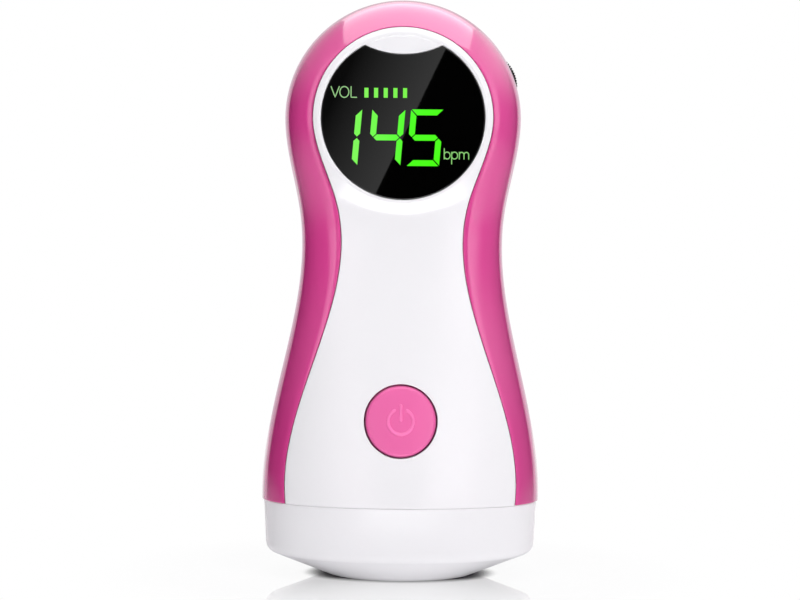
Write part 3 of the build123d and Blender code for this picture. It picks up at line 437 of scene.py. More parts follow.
def cell_sleeve(name, low, high):
    """Dry cell: a printed film sleeve in two plain tones between bare nickel ends, by height."""
    material, tree, place = new_material(name)
    parts = add(tree, "SeparateXYZ", {"Vector": place})
    along = mapped(tree, (parts, "Z"), low * MM, high * MM)
    bands = add(tree, "ValToRGB", {"Fac": along})
    stops = ((0.0, "#c9c7c1"), (0.02, "#2b3036"), (0.7, "#b98a4a"), (0.955, "#c9c7c1"))
    set_stops(bands.color_ramp, "CONSTANT", [(position, srgb(code)) for position, code in stops])
    gloss = mapped(tree, noise(tree, place, 2, 3.0), 0.3, 0.7, 0.18, 0.3)
    film = {"Base Color": bands, "Roughness": gloss, "Metallic": 0.55}
    return finished(material, add(tree, "BsdfPrincipled", film))


# ABS moulded in polished steel: a clear gloss over a solid tint, nearly free of texture
pink_abs = moulded("gloss_abs_pink", "#d94391", "#d5408d", 0.14, 2.2, 0.003, change=0.01, coat=1.0)
# white ABS from the same kind of tool: a milky body under a quiet gloss
milky = {"change": 0.02, "ior": 1.46, "chalk": 1.0}
white_abs = moulded("gloss_abs_white", "#edecee", "#ebeaec", 0.2, 2.0, 0.004, **milky)
cap_abs = moulded("gloss_abs_white_cap", "#ecebed", "#eae9eb", 0.2, 2.0, 0.004, **milky)
# lightly blasted ABS of the button and its paler raised symbol: a satin that blurs what it reflects
button_abs = moulded("gloss_abs_button_pink", "#e15b9e", "#de589b", 0.33, 1.6, 0.004, change=0.02)
# the symbol's paler tone is a painted highlight, added to the real light that its raised ridges catch
symbol_abs_with_painted_highlight = moulded("gloss_abs_symbol_pink_painted_highlight", "#ee70b0", "#ec6cad", 0.33, 1.6, 0.004, change=0.02)
# cast acrylic printed black behind: a deep flat black under a clear polished face
window_acrylic = moulded("cast_acrylic_black", "#020202", "#010101", 0.015, 3, 0.0005, 0.003, 1.49)
# light-emitting segments behind a clear face: an even saturated green
lit_green = lit_segment("lit_segment_green", "#45ff0c", "#8cf565", 1.0)
# shorter segments near the edge of the display: a little paler
bar_green = lit_segment("lit_bar_green", "#74f43f", "#8cf565", 1.0)
# the same light through the narrow openings of the printed legends: dimmer
legend_green = lit_segment("lit_legend_green", "#8fdc76", "#a4d894", 0.85)

# two tones, roughness, grain and bump in mm, then change of gloss and IOR where they aren't the usual ones
MOULDINGS = {
    # unpolished bores of the pink shell: the same tint without its gloss
    "matte_abs_pink": ("#d94391", "#cf3d89", 0.5, 0.8, 0.01),
    # nylon from a textured tool: a dull even black
    "moulded_nylon_black": ("#08080a", "#060608", 0.6, 0.6, 0.02, 0.04, 1.2),
    "moulded_abs_tray": ("#cfcfd2", "#c6c6ca", 0.45, 0.9, 0.01),  # a soft pale grey
    "silicone_rubber_black": ("#1c1c1e", "#151517", 0.6, 0.5, 0.02, 0.04, 1.41),  # a dull charcoal
    "closed_cell_foam_black": ("#1d1d1f", "#0f0f10", 0.9, 0.4, 0.08),  # fine pores and no gloss
    "acoustic_window_resin": ("#b9b9be", "#b0b0b6", 0.34, 1.0, 0.006),  # a smooth even grey
    "moulded_polymer_black": ("#202023", "#18181a", 0.5, 0.8, 0.012),  # a plain soft black
    "fired_piezo_ceramic": ("#8d877a", "#7f7a6e", 0.55, 0.3, 0.006),  # a dense stone grey
    "cork_sheet": ("#9a6f43", "#6f4a2a", 0.85, 0.9, 0.06),  # brown granules with dark gaps
    "filled_epoxy_grey": ("#4b4c50", "#3c3d41", 0.7, 0.35, 0.02),  # a rough dark grey
    "pvc_sheath_black": ("#19191b", "#131315", 0.5, 0.7, 0.01),  # a supple black
    "pvc_insulation_red": ("#b0201c", "#a31a17", 0.42, 0.7, 0.006),  # a clear red with a soft gloss
    "moulded_epoxy_package": ("#1b1c1e", "#141517", 0.55, 0.25, 0.01),  # a fine-grained black
    "moulded_nylon_ivory": ("#e6dfcb", "#ddd5be", 0.48, 0.8, 0.01),  # a warm off-white
    "moulded_reflector_black": ("#1d1d20", "#161618", 0.5, 0.7, 0.01),  # a plain black
    "moulded_acetal_red": ("#9a2018", "#8c1a14", 0.4, 0.8, 0.006),  # a deep slippery red
    "moulded_phenolic_dark": ("#23282c", "#1c2023", 0.5, 0.5, 0.012),  # a cold dark grey
    "moulded_pbt_black": ("#17171a", "#101012", 0.45, 0.7, 0.01),  # a firm black with some gloss
    "stove_paint_black": ("#232326", "#1a1a1d", 0.38, 0.4, 0.012),  # orange-peel paint in black
    "polyester_film": ("#c9c3ac", "#bdb79f", 0.4, 1.8, 0.03),  # thin cream film, slightly wavy
    "shrink_sleeve_blue": ("#1b2a57", "#15224a", 0.3, 1.2, 0.004),  # tight glossy dark blue film
}
# two tones, roughness and grain in mm: bright metal, evenly dulled by its fine crystals or turning marks
METALS = {
    "zinc_plated_steel": ("#c3c6ca", "#aeb2b7", 0.34, 0.5),  # a cold pale grey
    "nickel_plated_steel": ("#d2cfc8", "#bfbcb4", 0.22, 0.5),  # a warm bright silver
    "nickel_plated_spring_wire": ("#cfccc4", "#b2afa7", 0.26, 0.3),  # the same on drawn wire
    "turned_aluminium": ("#d6d7d9", "#c4c6c9", 0.3, 0.2),  # a light neutral silver
    "plated_magnet_cup": ("#b4b6ba", "#9da0a5", 0.32, 0.5),  # a darker silver
}
finish = {name: moulded(name, *values) for name, values in MOULDINGS.items()}
finish.update({name: metal(name, *values) for name, values in METALS.items()})
finish["glass_epoxy_board_green"] = board_laminate()
for name, low, high in (
    ("film_sleeve_left", BAY_TOP - 4.5, BAY_TOP - 49.0),
    ("film_sleeve_right", BAY_BOTTOM + 4.5, BAY_BOTTOM + 49.0),
):
    finish[name] = cell_sleeve(name, low, high)

# ======== front cover
ROLL_STEPS = ROLL * (1 - np.cos(np.linspace(0, pi / 2, 6)))


def outline_distance(x, z):
    """Distance in the front view from the cover's outer edge, which is the panel's less the seam gap."""
    round_head = PANEL_RADIUS - GAP - np.hypot(x, z - PANEL_Z)
    slope = (panel_half(z + 0.05) - panel_half(z - 0.05)) / 0.1
    side = (panel_half(z) - GAP - np.abs(x)) / np.sqrt(1 + slope**2)
    return np.minimum(np.where(z > PANEL_Z, round_head, side), z - SEAM)


def window_distance(x, z):
    """Distance in the front view from the window's opening, a disc cut by the crescent's arc."""
    ring = np.hypot(x, z - WINDOW_Z) - WINDOW_RADIUS - WINDOW_GAP
    arc = CRESCENT_RADIUS - WINDOW_GAP - np.hypot(x, z - CRESCENT_Z)
    return np.maximum(ring, arc)


def cover_depth(x, z):
    """Depth of the cover's face: the body's surface and the window's raised ring, softly blended."""
    ring = np.hypot(x, z - WINDOW_Z)
    cone = WINDOW_FACE - BEZEL_SLOPE * np.clip(ring - BEZEL_FLAT, 0, None)
    body = depth_at(x, z)
    soft = BEZEL_SOFT * np.log1p(np.exp(-np.abs(body - cone) / BEZEL_SOFT))
    blend = np.minimum(np.maximum(body, cone) + soft, WINDOW_FACE + (ring - BEZEL_FLAT))
    return np.where(ring < BEZEL_FLAT, WINDOW_FACE, blend)


def cover_front(grid):
    """Points of the cover's face over a grid in the front view, with every edge rolled.

    A fine groove, a bell curve 0.2 mm deep, follows the window's round edge over the display's top.
    """
    x, z = grid[..., 0], grid[..., 1]
    drop = rolled(outline_distance(x, z))
    drop = np.maximum(drop, rolled(window_distance(x, z), SOFT_ROLL))
    drop = np.maximum(drop, rolled(np.hypot(x, z - BUTTON_Z) - BUTTON_RADIUS - BUTTON_GAP))
    from_groove = np.hypot(x, z - WINDOW_Z) - WINDOW_RADIUS - 0.1
    groove = 0.2 * np.exp(-((from_groove / 0.12) ** 2)) * (z > WINDOW_Z + 12)
    return points_at(x, -(cover_depth(x, z) - drop - groove), z)


def cover_back(grid):
    """The same places on the cover's inner side, one wall thickness behind its face."""
    x, z = grid[..., 0], grid[..., 1]
    back = np.minimum(cover_depth(x, z), depth_at(x, z) + BEZEL_PROUD) - WALL
    return points_at(x, -back, z)


def spokes(centre, ray, lengths):
    """Grid of places along rays from a centre: a row for each set of lengths."""
    return np.stack([centre + ray * length[:, None] for length in lengths])


# the head: rays from the window's centre to the edge, and below it to an arc that the trunk starts from
SPLIT_RADIUS, SPLIT_Z = 26.4, 56.0
across = np.sin(np.linspace(-pi / 2, pi / 2, 121))
arc_angles = np.linspace(-pi / 2, 0, 4000)
arc_x, arc_z = SPLIT_RADIUS * np.cos(arc_angles), WINDOW_Z + SPLIT_RADIUS * np.sin(arc_angles)
arc_share = arc_x / (panel_half(arc_z) - GAP)
corner_angle = np.interp(1.0, arc_share, arc_angles)
lower_angles = np.interp(np.abs(across), arc_share, arc_angles)
lower_angles = np.where(across < 0, -pi - lower_angles, lower_angles)
upper_angles = np.linspace(corner_angle, pi - corner_angle, 361)[1:-1]
ring_angles = np.concatenate([lower_angles, upper_angles, lower_angles[:1] + 2 * pi])
ray = points_at(np.cos(ring_angles), np.sin(ring_angles))
centre = np.array([0.0, WINDOW_Z])


def ray_length(distance, far):
    """Length of each ray from the window's centre at which a distance rises above zero."""
    ends = np.full(len(ray), 10.0), np.full(len(ray), far)
    return halved(*ends, lambda length: distance(*(centre + ray * length[:, None]).T) >= 0, 40)


EDGE_BAND = 0.36
hole_length = ray_length(window_distance, 22.0)
edge_length = ray_length(lambda x, z: -outline_distance(x, z), SPLIT_RADIUS)
span = edge_length - hole_length - EDGE_BAND - ROLL - 0.06
lengths = [hole_length + step for step in (0, 0.02, 0.06, 0.12, 0.2, 0.3)]
lengths += [hole_length + EDGE_BAND + span * share for share in np.linspace(0, 1, 26)]
lengths += [edge_length - step for step in ROLL_STEPS[::-1]]
head_patch = spokes(centre, ray, lengths)

# the trunk: rows between the sides, from the arc down to the level line above the button
trunk_top = (centre + ray[: len(across)] * SPLIT_RADIUS)[:, 1]
trunk_rows = []
for share in np.linspace(0, 1, 44):
    z = trunk_top * (1 - share) + SPLIT_Z * share
    trunk_rows.append(points_at(across * (panel_half(z) - GAP), z))
trunk_patch = np.stack(trunk_rows)

# the foot: rays from the button's centre to the level line, the sides and the seam above the base
side_z = np.concatenate([np.linspace(SPLIT_Z, SEAM + 2 * ROLL, 60)[1:], SEAM + ROLL_STEPS[::-1]])
right_side = points_at(panel_half(side_z) - GAP, side_z)
foot_half = right_side[-1, 0]
foot_inner = np.linspace(foot_half - 2 * ROLL, 2 * ROLL - foot_half, 90)
foot_x = np.concatenate([foot_half - ROLL_STEPS[1:], foot_inner, (ROLL_STEPS[1:] - foot_half)[::-1]])
foot = points_at(foot_x, SEAM)
rim = np.concatenate([trunk_patch[-1], right_side, foot, right_side[::-1] * (-1, 1), trunk_patch[-1][:1]])
button_place = np.array([0.0, BUTTON_Z])
rim_length = np.hypot(*(rim - button_place).T)
hole = np.full_like(rim_length, BUTTON_RADIUS + BUTTON_GAP)
lengths = [hole + step for step in ROLL_STEPS]
lengths += [hole + 0.45 + (rim_length - hole - 1.0) * share for share in np.linspace(0, 1, 30)[:-1]]
lengths += [rim_length - step for step in ROLL_STEPS[::-1]]
button_patch = spokes(button_place, (rim - button_place) / rim_length[:, None], lengths)

cover_grids = [head_patch, trunk_patch, button_patch]
sheets = [cover_front(g) for g in cover_grids], [cover_back(g) for g in cover_grids]
looks = (white_abs, "casing", "front_white", ("front_cover",), 50)
make_shell("front_cover_skin", *sheets, *looks, keys=cover_grids)

# ======== rear shell
SHOULDER, SHOULDER_DROP, SHOULDER_TOP, SHOULDER_FADE = 2.2, 0.42, radians(62), radians(34)


def oval_run(width, depth, full, seam_x, share):
    """Points along an oval from its rear pole past its side to a place in front, where x is seam_x.

    The share runs from 0 to 1 over the rear quarter and from 1 to 2 over what the front quarter shows.
    """
    front_end = share_at(seam_x, width, full)
    front = 1 - (1 - front_end) * np.clip(share - 1, 0, 1)
    behind = share <= 1
    t = np.where(behind, np.clip(share, 0, 1), front)
    x = bezier(t, 0, full * width, width, width)
    y = bezier(t, depth, depth, full * depth, 0)
    return x, np.where(behind, y, -y)


edge_shares = 2 - np.linspace(0.012, 0, 9)
run_shares = np.concatenate([np.linspace(0, 1, 34), np.linspace(1, 1.985, 36)[1:], edge_shares])
trunk_z = np.concatenate([SEAM + ROLL_STEPS, np.linspace(SEAM + 2 * ROLL, HEAD_Z, 74)])
head_turn = np.linspace(0, pi / 2, 49)[1:]


def shell_grid(inset, edge_rolls):
    """Right half of the rear shell's surface, drawn in by the inset: trunk sections, then head meridians.

    With edge rolls, the edge at the seam is rounded, and a low shoulder rises behind it over a length in
    mm. The shoulder fades out over the head's top by an eased share of the meridian's angle.
    """
    s, z = np.meshgrid(run_shares, trunk_z)
    foot_roll = rolled(z - SEAM) if edge_rolls else 0.0
    width, depth = half_width(z) - inset - foot_roll, half_depth(z) - inset - foot_roll
    x, y = oval_run(width, depth, fullness(z), panel_half(z) + GAP, s)
    trunk = points_at(x, y, z)
    s, turn = np.meshgrid(run_shares, head_turn)
    lift = HEAD_Z - PANEL_Z
    seam_length = -lift * np.sin(turn) + np.sqrt((PANEL_RADIUS + GAP) ** 2 - (lift * np.cos(turn)) ** 2)
    reach, y = oval_run(HEAD_RADIUS - inset, HEAD_DEPTH - inset, HEAD_FULLNESS, seam_length, s)
    head = points_at(reach * np.cos(turn), y, HEAD_Z + reach * np.sin(turn))
    grid = np.concatenate([trunk, head])
    if edge_rolls:
        steps = np.linalg.norm(np.diff(grid, axis=1), axis=-1)
        from_seam = np.pad(np.cumsum(steps[:, ::-1], axis=1)[:, ::-1], ((0, 0), (0, 1)))
        rise = np.concatenate([np.zeros(len(trunk_z)), head_turn])[:, None]
        kept = np.clip((SHOULDER_TOP - rise) / SHOULDER_FADE, 0, 1)
        shoulder = SHOULDER_DROP * kept**2 * (3 - 2 * kept)
        grid[..., 1] += rolled(from_seam) + shoulder * np.clip(1 - from_seam / SHOULDER, 0, 1) ** 2.2
    return grid


def cylinder(place, axis, radius, start, end, count=48):
    """Closed cylinder along an axis through a place, as a grid from pole to pole."""
    turn = full_turn(count)
    rings = []
    for length, size in ((start, 0.0), (start, radius), (end, radius), (end, 0.0)):
        ring = np.zeros((count + 1, 3))
        ring[:, (axis + 1) % 3] = size * np.cos(turn)
        ring[:, (axis + 2) % 3] = size * np.sin(turn)
        ring[:, axis] = length
        rings.append(ring + np.array(place))
    return np.stack(rings)


def rounded_block(half, low, high, corner, start, end):
    """Closed block with a rounded-rectangle outline in the front view, between two depths along Y."""
    angles = np.linspace(0, pi / 2, 9)
    corners = []
    upper, lower = high - corner, low + corner
    for k, (side, z) in enumerate(((1, upper), (-1, upper), (-1, lower), (1, lower))):
        a = angles + k * pi / 2
        x = side * (half - corner) + corner * np.cos(a)
        corners.append(points_at(x, z + corner * np.sin(a)))
    loop = np.concatenate(corners + [corners[0][:1]])
    middle = np.broadcast_to(np.array([0.0, (low + high) / 2]), loop.shape)
    rings = []
    for y, ring in ((start, middle), (start, loop), (end, loop), (end, middle)):
        rings.append(points_at(ring[:, 0], y, ring[:, 1]))
    return np.stack(rings)


def cut(piece, grids):
    """Cuts closed bodies out of a piece, applies the cut, and shades the result again."""
    points, quads, _ = welded(grids)
    mesh = new_mesh("cutter", points, split_faces(quads))
    tool = bpy.data.objects.new("cutter", mesh)
    bpy.context.scene.collection.objects.link(tool)
    modifier = piece.modifiers.new("cut", "BOOLEAN")
    modifier.operation, modifier.solver, modifier.object = "DIFFERENCE", "EXACT", tool
    graph = bpy.context.evaluated_depsgraph_get()
    result = bpy.data.meshes.new_from_object(piece.evaluated_get(graph))
    piece.modifiers.clear()
    old, piece.data = piece.data, result
    bpy.data.meshes.remove(old)
    bpy.data.objects.remove(tool)
    bpy.data.meshes.remove(mesh)
    result.shade_smooth()
    result.set_sharp_from_angle(angle=radians(40))


RECESS, SLEEVE, SCREW_HOLE = 2.35, 2.9, 1.15
GRILLE_HOLE, GRILLE_PITCH = 0.85, 3.2
JACK_HOLE, JACK_DEPTH = 3.02, 3.0
screw_places = [(s * x, z) for s in (-1, 1) for x, z in ((20.0, SEAM + 8.4), (18.0, BAY_BOTTOM + 12.0))]
door_outline = (DOOR_HALF + DOOR_GAP, DOOR_BOTTOM - DOOR_GAP, DOOR_TOP + DOOR_GAP, DOOR_CORNER + DOOR_GAP)
cutters = [
    rounded_block(*door_outline, 5.0, 45.0),
    cylinder((WHEEL_X, 0, WHEEL_Z), 1, WHEEL_RADIUS + 0.22, 0.4, 3.8, 96),
    cylinder((0, JACK_DEPTH, HEAD_Z), 0, JACK_HOLE, -40.0, -5.0),
]
# the grille: a hole in the middle, then rings of 6 and 12
for ring, count in ((0, 1), (1, 6), (2, 12)):
    for k in range(count):
        turn = 2 * pi * k / count
        reach = GRILLE_PITCH * ring
        place = (reach * cos(turn), 0, HEAD_Z + reach * sin(turn))
        cutters.append(cylinder(place, 1, GRILLE_HOLE, 5.0, 30.0, 20))
cutters += [cylinder((x, 0, z), 1, RECESS, 4.0, 40.0, 36) for x, z in screw_places]

# the right half and its mirror image, outside and inside
sheets = [[half, half * (-1, 1, 1)] for half in (shell_grid(0.0, True), shell_grid(WALL, False))]
shell = make_shell("rear_shell_skin", *sheets, pink_abs, "casing", "shell_pink", ("rear_shell",), 50)
cut(shell, cutters)

sleeves = []
turn = full_turn(36)
for x, z in screw_places:
    far = float(depth_at(np.array([abs(x) + SLEEVE]), np.array([z + SLEEVE]))[0]) - 0.5
    outside = ((RECESS, far), (SLEEVE, far), (SLEEVE, 0.1))
    inside = ((SCREW_HOLE, 0.1), (SCREW_HOLE, 2.0), (RECESS, 2.0))
    profile = outside + inside + outside[:1]
    sleeves.append(np.stack([circle_row(radius, turn, x, y, z) for radius, y in profile]))
make_solid("screw_sleeves", sleeves, finish["matte_abs_pink"], "casing", "shell_pink")

# ======== base cap
CAP_TOP, CAP_ROLL = SEAM - GAP, 0.3
CAP_WIDTH, CAP_DEPTH = BASE_WIDTH - 0.5, BASE_DEPTH - 0.5


def cap_row(width, depth, z, full=BASE_FULLNESS):
    """Places round a whole oval, at 36 even shares of each of its four quarters, at one height."""
    t = np.linspace(0, 1, 37)[:-1]
    x, y = bezier(t, 0, full * width, width, width), bezier(t, depth, depth, full * depth, 0)
    back_x, back_y = bezier(t, width, width, full * width, 0), -bezier(t, 0, full * depth, depth, depth)
    xs, ys = np.concatenate([x, back_x, -x, -back_x]), np.concatenate([y, back_y, -y, -back_y])
    return points_at(xs, ys, z)


def towards(start, end, length):
    """Points a length in mm along the lines from one row to another."""
    line = end - start
    return start + line * (length / np.linalg.norm(line, axis=1))[:, None]


foot_ring = cap_row(17.8, 17.8, 0.0, CIRCLE)
corner_ring = cap_row(33.6, 25.8, 6.0)
top_ring = cap_row(CAP_WIDTH, CAP_DEPTH, CAP_TOP)
# the mouth round the probe face
mouth = ((17.85, 1.2), (17.1, 1.2), (17.1, 0.3), (17.18, 0.08), (17.35, 0.0))
rows = [cap_row(r, r, z, CIRCLE) for r, z in mouth]
# the underside, the turn to the side along a parabola through the corner, the side and its rolled top
rows += [foot_ring + (corner_ring - foot_ring) * share for share in np.linspace(0.02, 0.86, 8)]
before, after = towards(corner_ring, foot_ring, 2.0), towards(corner_ring, top_ring, 2.0)
for t in np.linspace(0, 1, 13):
    rows.append((1 - t) ** 2 * before + 2 * t * (1 - t) * corner_ring + t**2 * after)
rows += [corner_ring + (top_ring - corner_ring) * share for share in np.linspace(0.25, 0.95, 10)]
for angle in np.linspace(0, pi / 2, 7):
    inset, z = CAP_ROLL * (1 - cos(angle)), CAP_TOP - CAP_ROLL * (1 - sin(angle))
    rows.append(cap_row(CAP_WIDTH - inset, CAP_DEPTH - inset, z))
# the lip that goes into the casing, and the inner side back to the mouth
for inset, z in ((2.35, CAP_TOP), (2.35, SEAM + 2.8), (2.55, SEAM + 3.0), (3.3, SEAM + 3.0), (3.3, CAP_TOP)):
    rows.append(cap_row(BASE_WIDTH - inset, BASE_DEPTH - inset, z))
rows += [cap_row(30.8, 23.0, 7.0), cap_row(19.0, 19.0, 2.2, CIRCLE), cap_row(17.85, 17.85, 2.2, CIRCLE)]
make_solid("base_cap_skin", [closed_grid(rows)], cap_abs, "casing", "base_white", ("base_cap",), 50)

# ======== battery door
GROOVE_HALF = 0.45
GROOVES = [(DOOR_TOP - 5.0 - 2.2 * k, 6.0 - k) for k in range(4)]


def door_drop(x, z):
    """Depth of the finger grooves: half-round slots 0.9 mm wide, shorter towards the foot."""
    drop = np.zeros_like(x)
    for centre_z, half in GROOVES:
        out = np.hypot(np.clip(np.abs(x) - half + GROOVE_HALF, 0, None), z - centre_z) / GROOVE_HALF
        drop = np.maximum(drop, GROOVE_HALF * np.sqrt(np.clip(1 - out**2, 0, None)))
    return drop


corner_z = DOOR_CORNER * (1 - np.cos(np.linspace(0, pi / 2, 12)))
groove_z = [z + GROOVE_HALF * np.cos(np.linspace(pi, 0, 13)) for z, _ in GROOVES]
plain_z = np.linspace(DOOR_BOTTOM + 3, DOOR_TOP - 13, 30)
door_z = np.concatenate([DOOR_BOTTOM + corner_z, plain_z, *groove_z, DOOR_TOP - corner_z])
door_z = np.unique(np.round(door_z, 4))
from_end = np.clip(DOOR_CORNER - np.minimum(door_z - DOOR_BOTTOM, DOOR_TOP - door_z), 0, DOOR_CORNER)
door_half = DOOR_HALF - DOOR_CORNER + np.sqrt(DOOR_CORNER**2 - from_end**2)
edge_steps = ROLL_STEPS / 13
door_across = np.concatenate([edge_steps - 1, np.linspace(-0.96, 0.96, 61), (1 - edge_steps)[::-1]])
door_x = door_across[None] * door_half[:, None]
door_z = np.broadcast_to(door_z[:, None], door_x.shape)
from_side = door_half[:, None] - np.abs(door_x)
edge = np.minimum(from_side, np.minimum(door_z - DOOR_BOTTOM, DOOR_TOP - door_z))
surface = depth_at(door_x, door_z)
drop = np.maximum(rolled(edge, SOFT_ROLL), door_drop(door_x, door_z))
outers = [points_at(door_x, surface - drop, door_z)]
inners = [points_at(door_x, surface - WALL, door_z)]
# two hooks at the foot, which reach under the edge of the bay
for side in (-1, 1):
    x, z = np.meshgrid(side * 7.5 + np.linspace(-2, 2, 7), np.linspace(DOOR_BOTTOM - 2, DOOR_BOTTOM + 1.3, 7))
    surface = depth_at(x, z)
    outers.append(points_at(x, surface - np.where(z > DOOR_BOTTOM, 1.2, WALL + 0.15), z))
    inners.append(points_at(x, surface - WALL - 1.35, z))
make_shell("battery_door_skin", outers, inners, pink_abs, "battery_door", "shell_pink", ("battery_door",))

# ======== volume wheel
# the rim's radius is less by the tooth's depth where a cosine of 84 waves a turn is high, with steep flanks
TEETH, TOOTH, FRONT, BACK, HUB_BACK = 84, 0.42, 0.7, 3.5, 2.55
turn = np.linspace(0, 2 * pi, TEETH * 12 + 1)[:-1]
notch = np.clip((np.cos(TEETH * turn) - 0.25) / 0.75, 0, 1) ** 0.7
rows = []
for radius, y, share in (
    (1.5, FRONT, 0.0), (8.3, FRONT, 0.0), (8.6, FRONT, 0.06), (8.91, FRONT, 1.0),
    (WHEEL_RADIUS, FRONT + 0.06, 1.0), (WHEEL_RADIUS, BACK - 0.06, 1.0), (8.91, BACK, 1.0),
    (8.6, BACK, 0.06), (8.3, BACK, 0.0), (2.05, BACK, 0.0), (2.05, HUB_BACK, 0.0), (1.5, HUB_BACK, 0.0),
):
    rows.append(circle_row(radius - TOOTH * share * notch, turn, WHEEL_X, y, WHEEL_Z))
looks = (finish["moulded_nylon_black"], "volume_wheel", "wheel_black", ("volume_wheel",), 40)
make_solid("volume_wheel_rim", [closed_grid(rows)], *looks)

# ======== power button
FILLET, FLANGE, FLANGE_FRONT, FLANGE_BACK = 0.8, BUTTON_RADIUS + 1.7, -18.05, -17.05


def button_face(x, z):
    """Depth of the button's face, which follows the body's surface a little in front of it."""
    return depth_at(x, z) + BUTTON_PROUD


turn = full_turn(96)
flat = BUTTON_RADIUS - FILLET
fillet_radii = flat + FILLET * np.sin(np.linspace(0, pi / 2, 9)[1:])
rings = []
for radius in np.concatenate([np.linspace(0, flat, 14), fillet_radii]):
    ring = circle_row(radius, turn, 0.0, 0.0, BUTTON_Z)
    ring[:, 1] = -(button_face(ring[:, 0], ring[:, 2]) - rolled(BUTTON_RADIUS - radius, FILLET))
    rings.append(ring)
back = ((BUTTON_RADIUS, FLANGE_FRONT), (FLANGE, FLANGE_FRONT), (FLANGE, FLANGE_BACK), (0.0, FLANGE_BACK))
rings += [circle_row(radius, turn, 0.0, y, BUTTON_Z) for radius, y in back]
looks = (button_abs, "power_button", "button_pink", ("power_button",), 50)
make_solid("power_button_cap", [np.stack(rings)], *looks)


def ribbon(path, half, surface, height, sunk):
    """Raised line over a surface: a half-round ridge along a path, with round ends.

    The path is an array of places in the front view; the surface gives the depth at a place.
    """
    line = np.diff(path, axis=0)
    along = np.concatenate([[0], np.cumsum(np.hypot(line[:, 0], line[:, 1]))])
    ends = half * (1 - np.cos(np.linspace(0, pi / 2, 7)))
    inner = np.linspace(0, along[-1], max(3, len(path)))[1:-1]
    places = np.concatenate([-half + ends, inner, along[-1] + half - ends[::-1]])
    before, after = np.clip(places, None, 0)[:, None], np.clip(places - along[-1], 0, None)[:, None]
    inside = np.clip(places, 0, along[-1])
    middle = points_at(np.interp(inside, along, path[:, 0]), np.interp(inside, along, path[:, 1]))
    middle = middle + before * (line[0] / np.hypot(*line[0])) + after * (line[-1] / np.hypot(*line[-1]))
    tangent = np.gradient(middle, axis=0)
    tangent /= np.hypot(tangent[:, 0], tangent[:, 1])[:, None]
    normal = points_at(-tangent[:, 1], tangent[:, 0])
    beyond = np.maximum(-before, after)[:, 0] / half
    size = half * np.sqrt(np.clip(1 - beyond**2, 0, None))
    turn = np.linspace(-pi / 2, pi / 2, 9)
    offset = np.sin(turn)[None] * size[:, None]
    place = middle[:, None] + normal[:, None] * offset[..., None]
    x, z = place[..., 0], place[..., 1]
    rise = height * np.cos(turn)[None] * (size / half)[:, None]
    return [points_at(x, -(surface(x, z) + up), z) for up in (rise, -sunk)]


SYMBOL_RADIUS, SYMBOL_OPENING = 3.05, radians(30)
arc = np.linspace(pi / 2 + SYMBOL_OPENING, pi / 2 + 2 * pi - SYMBOL_OPENING, 60)
ring_path = points_at(SYMBOL_RADIUS * np.cos(arc), BUTTON_Z + SYMBOL_RADIUS * np.sin(arc))
bar_path = points_at(0.0, BUTTON_Z + np.linspace(0.3, 3.8, 12))
marks = [ribbon(path, 0.42, button_face, 0.25, 0.2) for path in (ring_path, bar_path)]
make_shell("power_symbol", *zip(*marks), symbol_abs_with_painted_highlight, "power_button", "button_pink")

# ======== display
PANE_FACE, PANE_BACK, PANE_ROLL = WINDOW_FACE - 0.03, WINDOW_FACE - 1.6, 0.2
# a ray from the window's centre ends at the disc's edge or, above, at the crescent's arc if that is nearer
lens_rise = CRESCENT_Z - WINDOW_Z
tip_cosine = (WINDOW_RADIUS**2 + lens_rise**2 - CRESCENT_RADIUS**2) / (2 * WINDOW_RADIUS * lens_rise)
tip_angle = np.arccos(tip_cosine)
left_tip, right_tip = pi / 2 + tip_angle, pi / 2 - tip_angle
window_angles = np.concatenate([
    np.linspace(right_tip, left_tip, 41), np.linspace(left_tip, right_tip + 2 * pi, 141)[1:]
])
window_ray = points_at(np.cos(window_angles), np.sin(window_angles))
near_point = window_ray[:, 1] * lens_rise
room_left = near_point**2 - lens_rise**2 + CRESCENT_RADIUS**2
to_arc = near_point - np.sqrt(np.clip(room_left, 0, None))
crosses = (room_left > 0) & (near_point > 0)
window_reach = np.where(crosses, np.minimum(WINDOW_RADIUS, to_arc), WINDOW_RADIUS)


def window_row(inset, y):
    """Row of the window's outline, drawn in towards its middle by an inset, at a depth."""
    place = window_ray * np.clip(window_reach - inset, 0, None)[:, None]
    return points_at(place[:, 0], -y, WINDOW_Z + place[:, 1])


rows = [window_row(inset, PANE_FACE) for inset in (WINDOW_RADIUS, 12.0, 6.0, 2.0, 0.6, 0.22)]
for a in np.linspace(0, pi / 2, 6):
    rows.append(window_row(PANE_ROLL * (1 - sin(a)), PANE_FACE - PANE_ROLL * (1 - cos(a))))
rows += [window_row(inset, PANE_BACK) for inset in (0.0, WINDOW_RADIUS)]
looks = (window_acrylic, "casing", "window_black", ("display_window",), 40)
make_solid("display_window_pane", [np.stack(rows)], *looks)
carry("lit_digits", lit_green, 30)
carry("volume_bars", bar_green, 30)


def window_face(x, z):
    """Depth of the display window's face."""
    return np.full_like(x, WINDOW_FACE)


def bowl(cx, cz, rx, rz, start, end, count):
    """Part of an oval as a stroke's path, between two angles in degrees."""
    a = np.radians(np.linspace(start, end, count))
    return points_at(cx + rx * np.cos(a), cz + rz * np.sin(a)).tolist()


def stroke(path, x, z, width, height):
    """A letter's stroke from its corners in a unit square, set at a place with a size in mm."""
    corners = np.array(path, float)
    sides = [a + (b - a) * np.linspace(0, 1, 7)[:-1, None] for a, b in zip(corners[:-1], corners[1:])]
    return np.concatenate(sides + [corners[-1:]]) * (width, height) + (x, z)


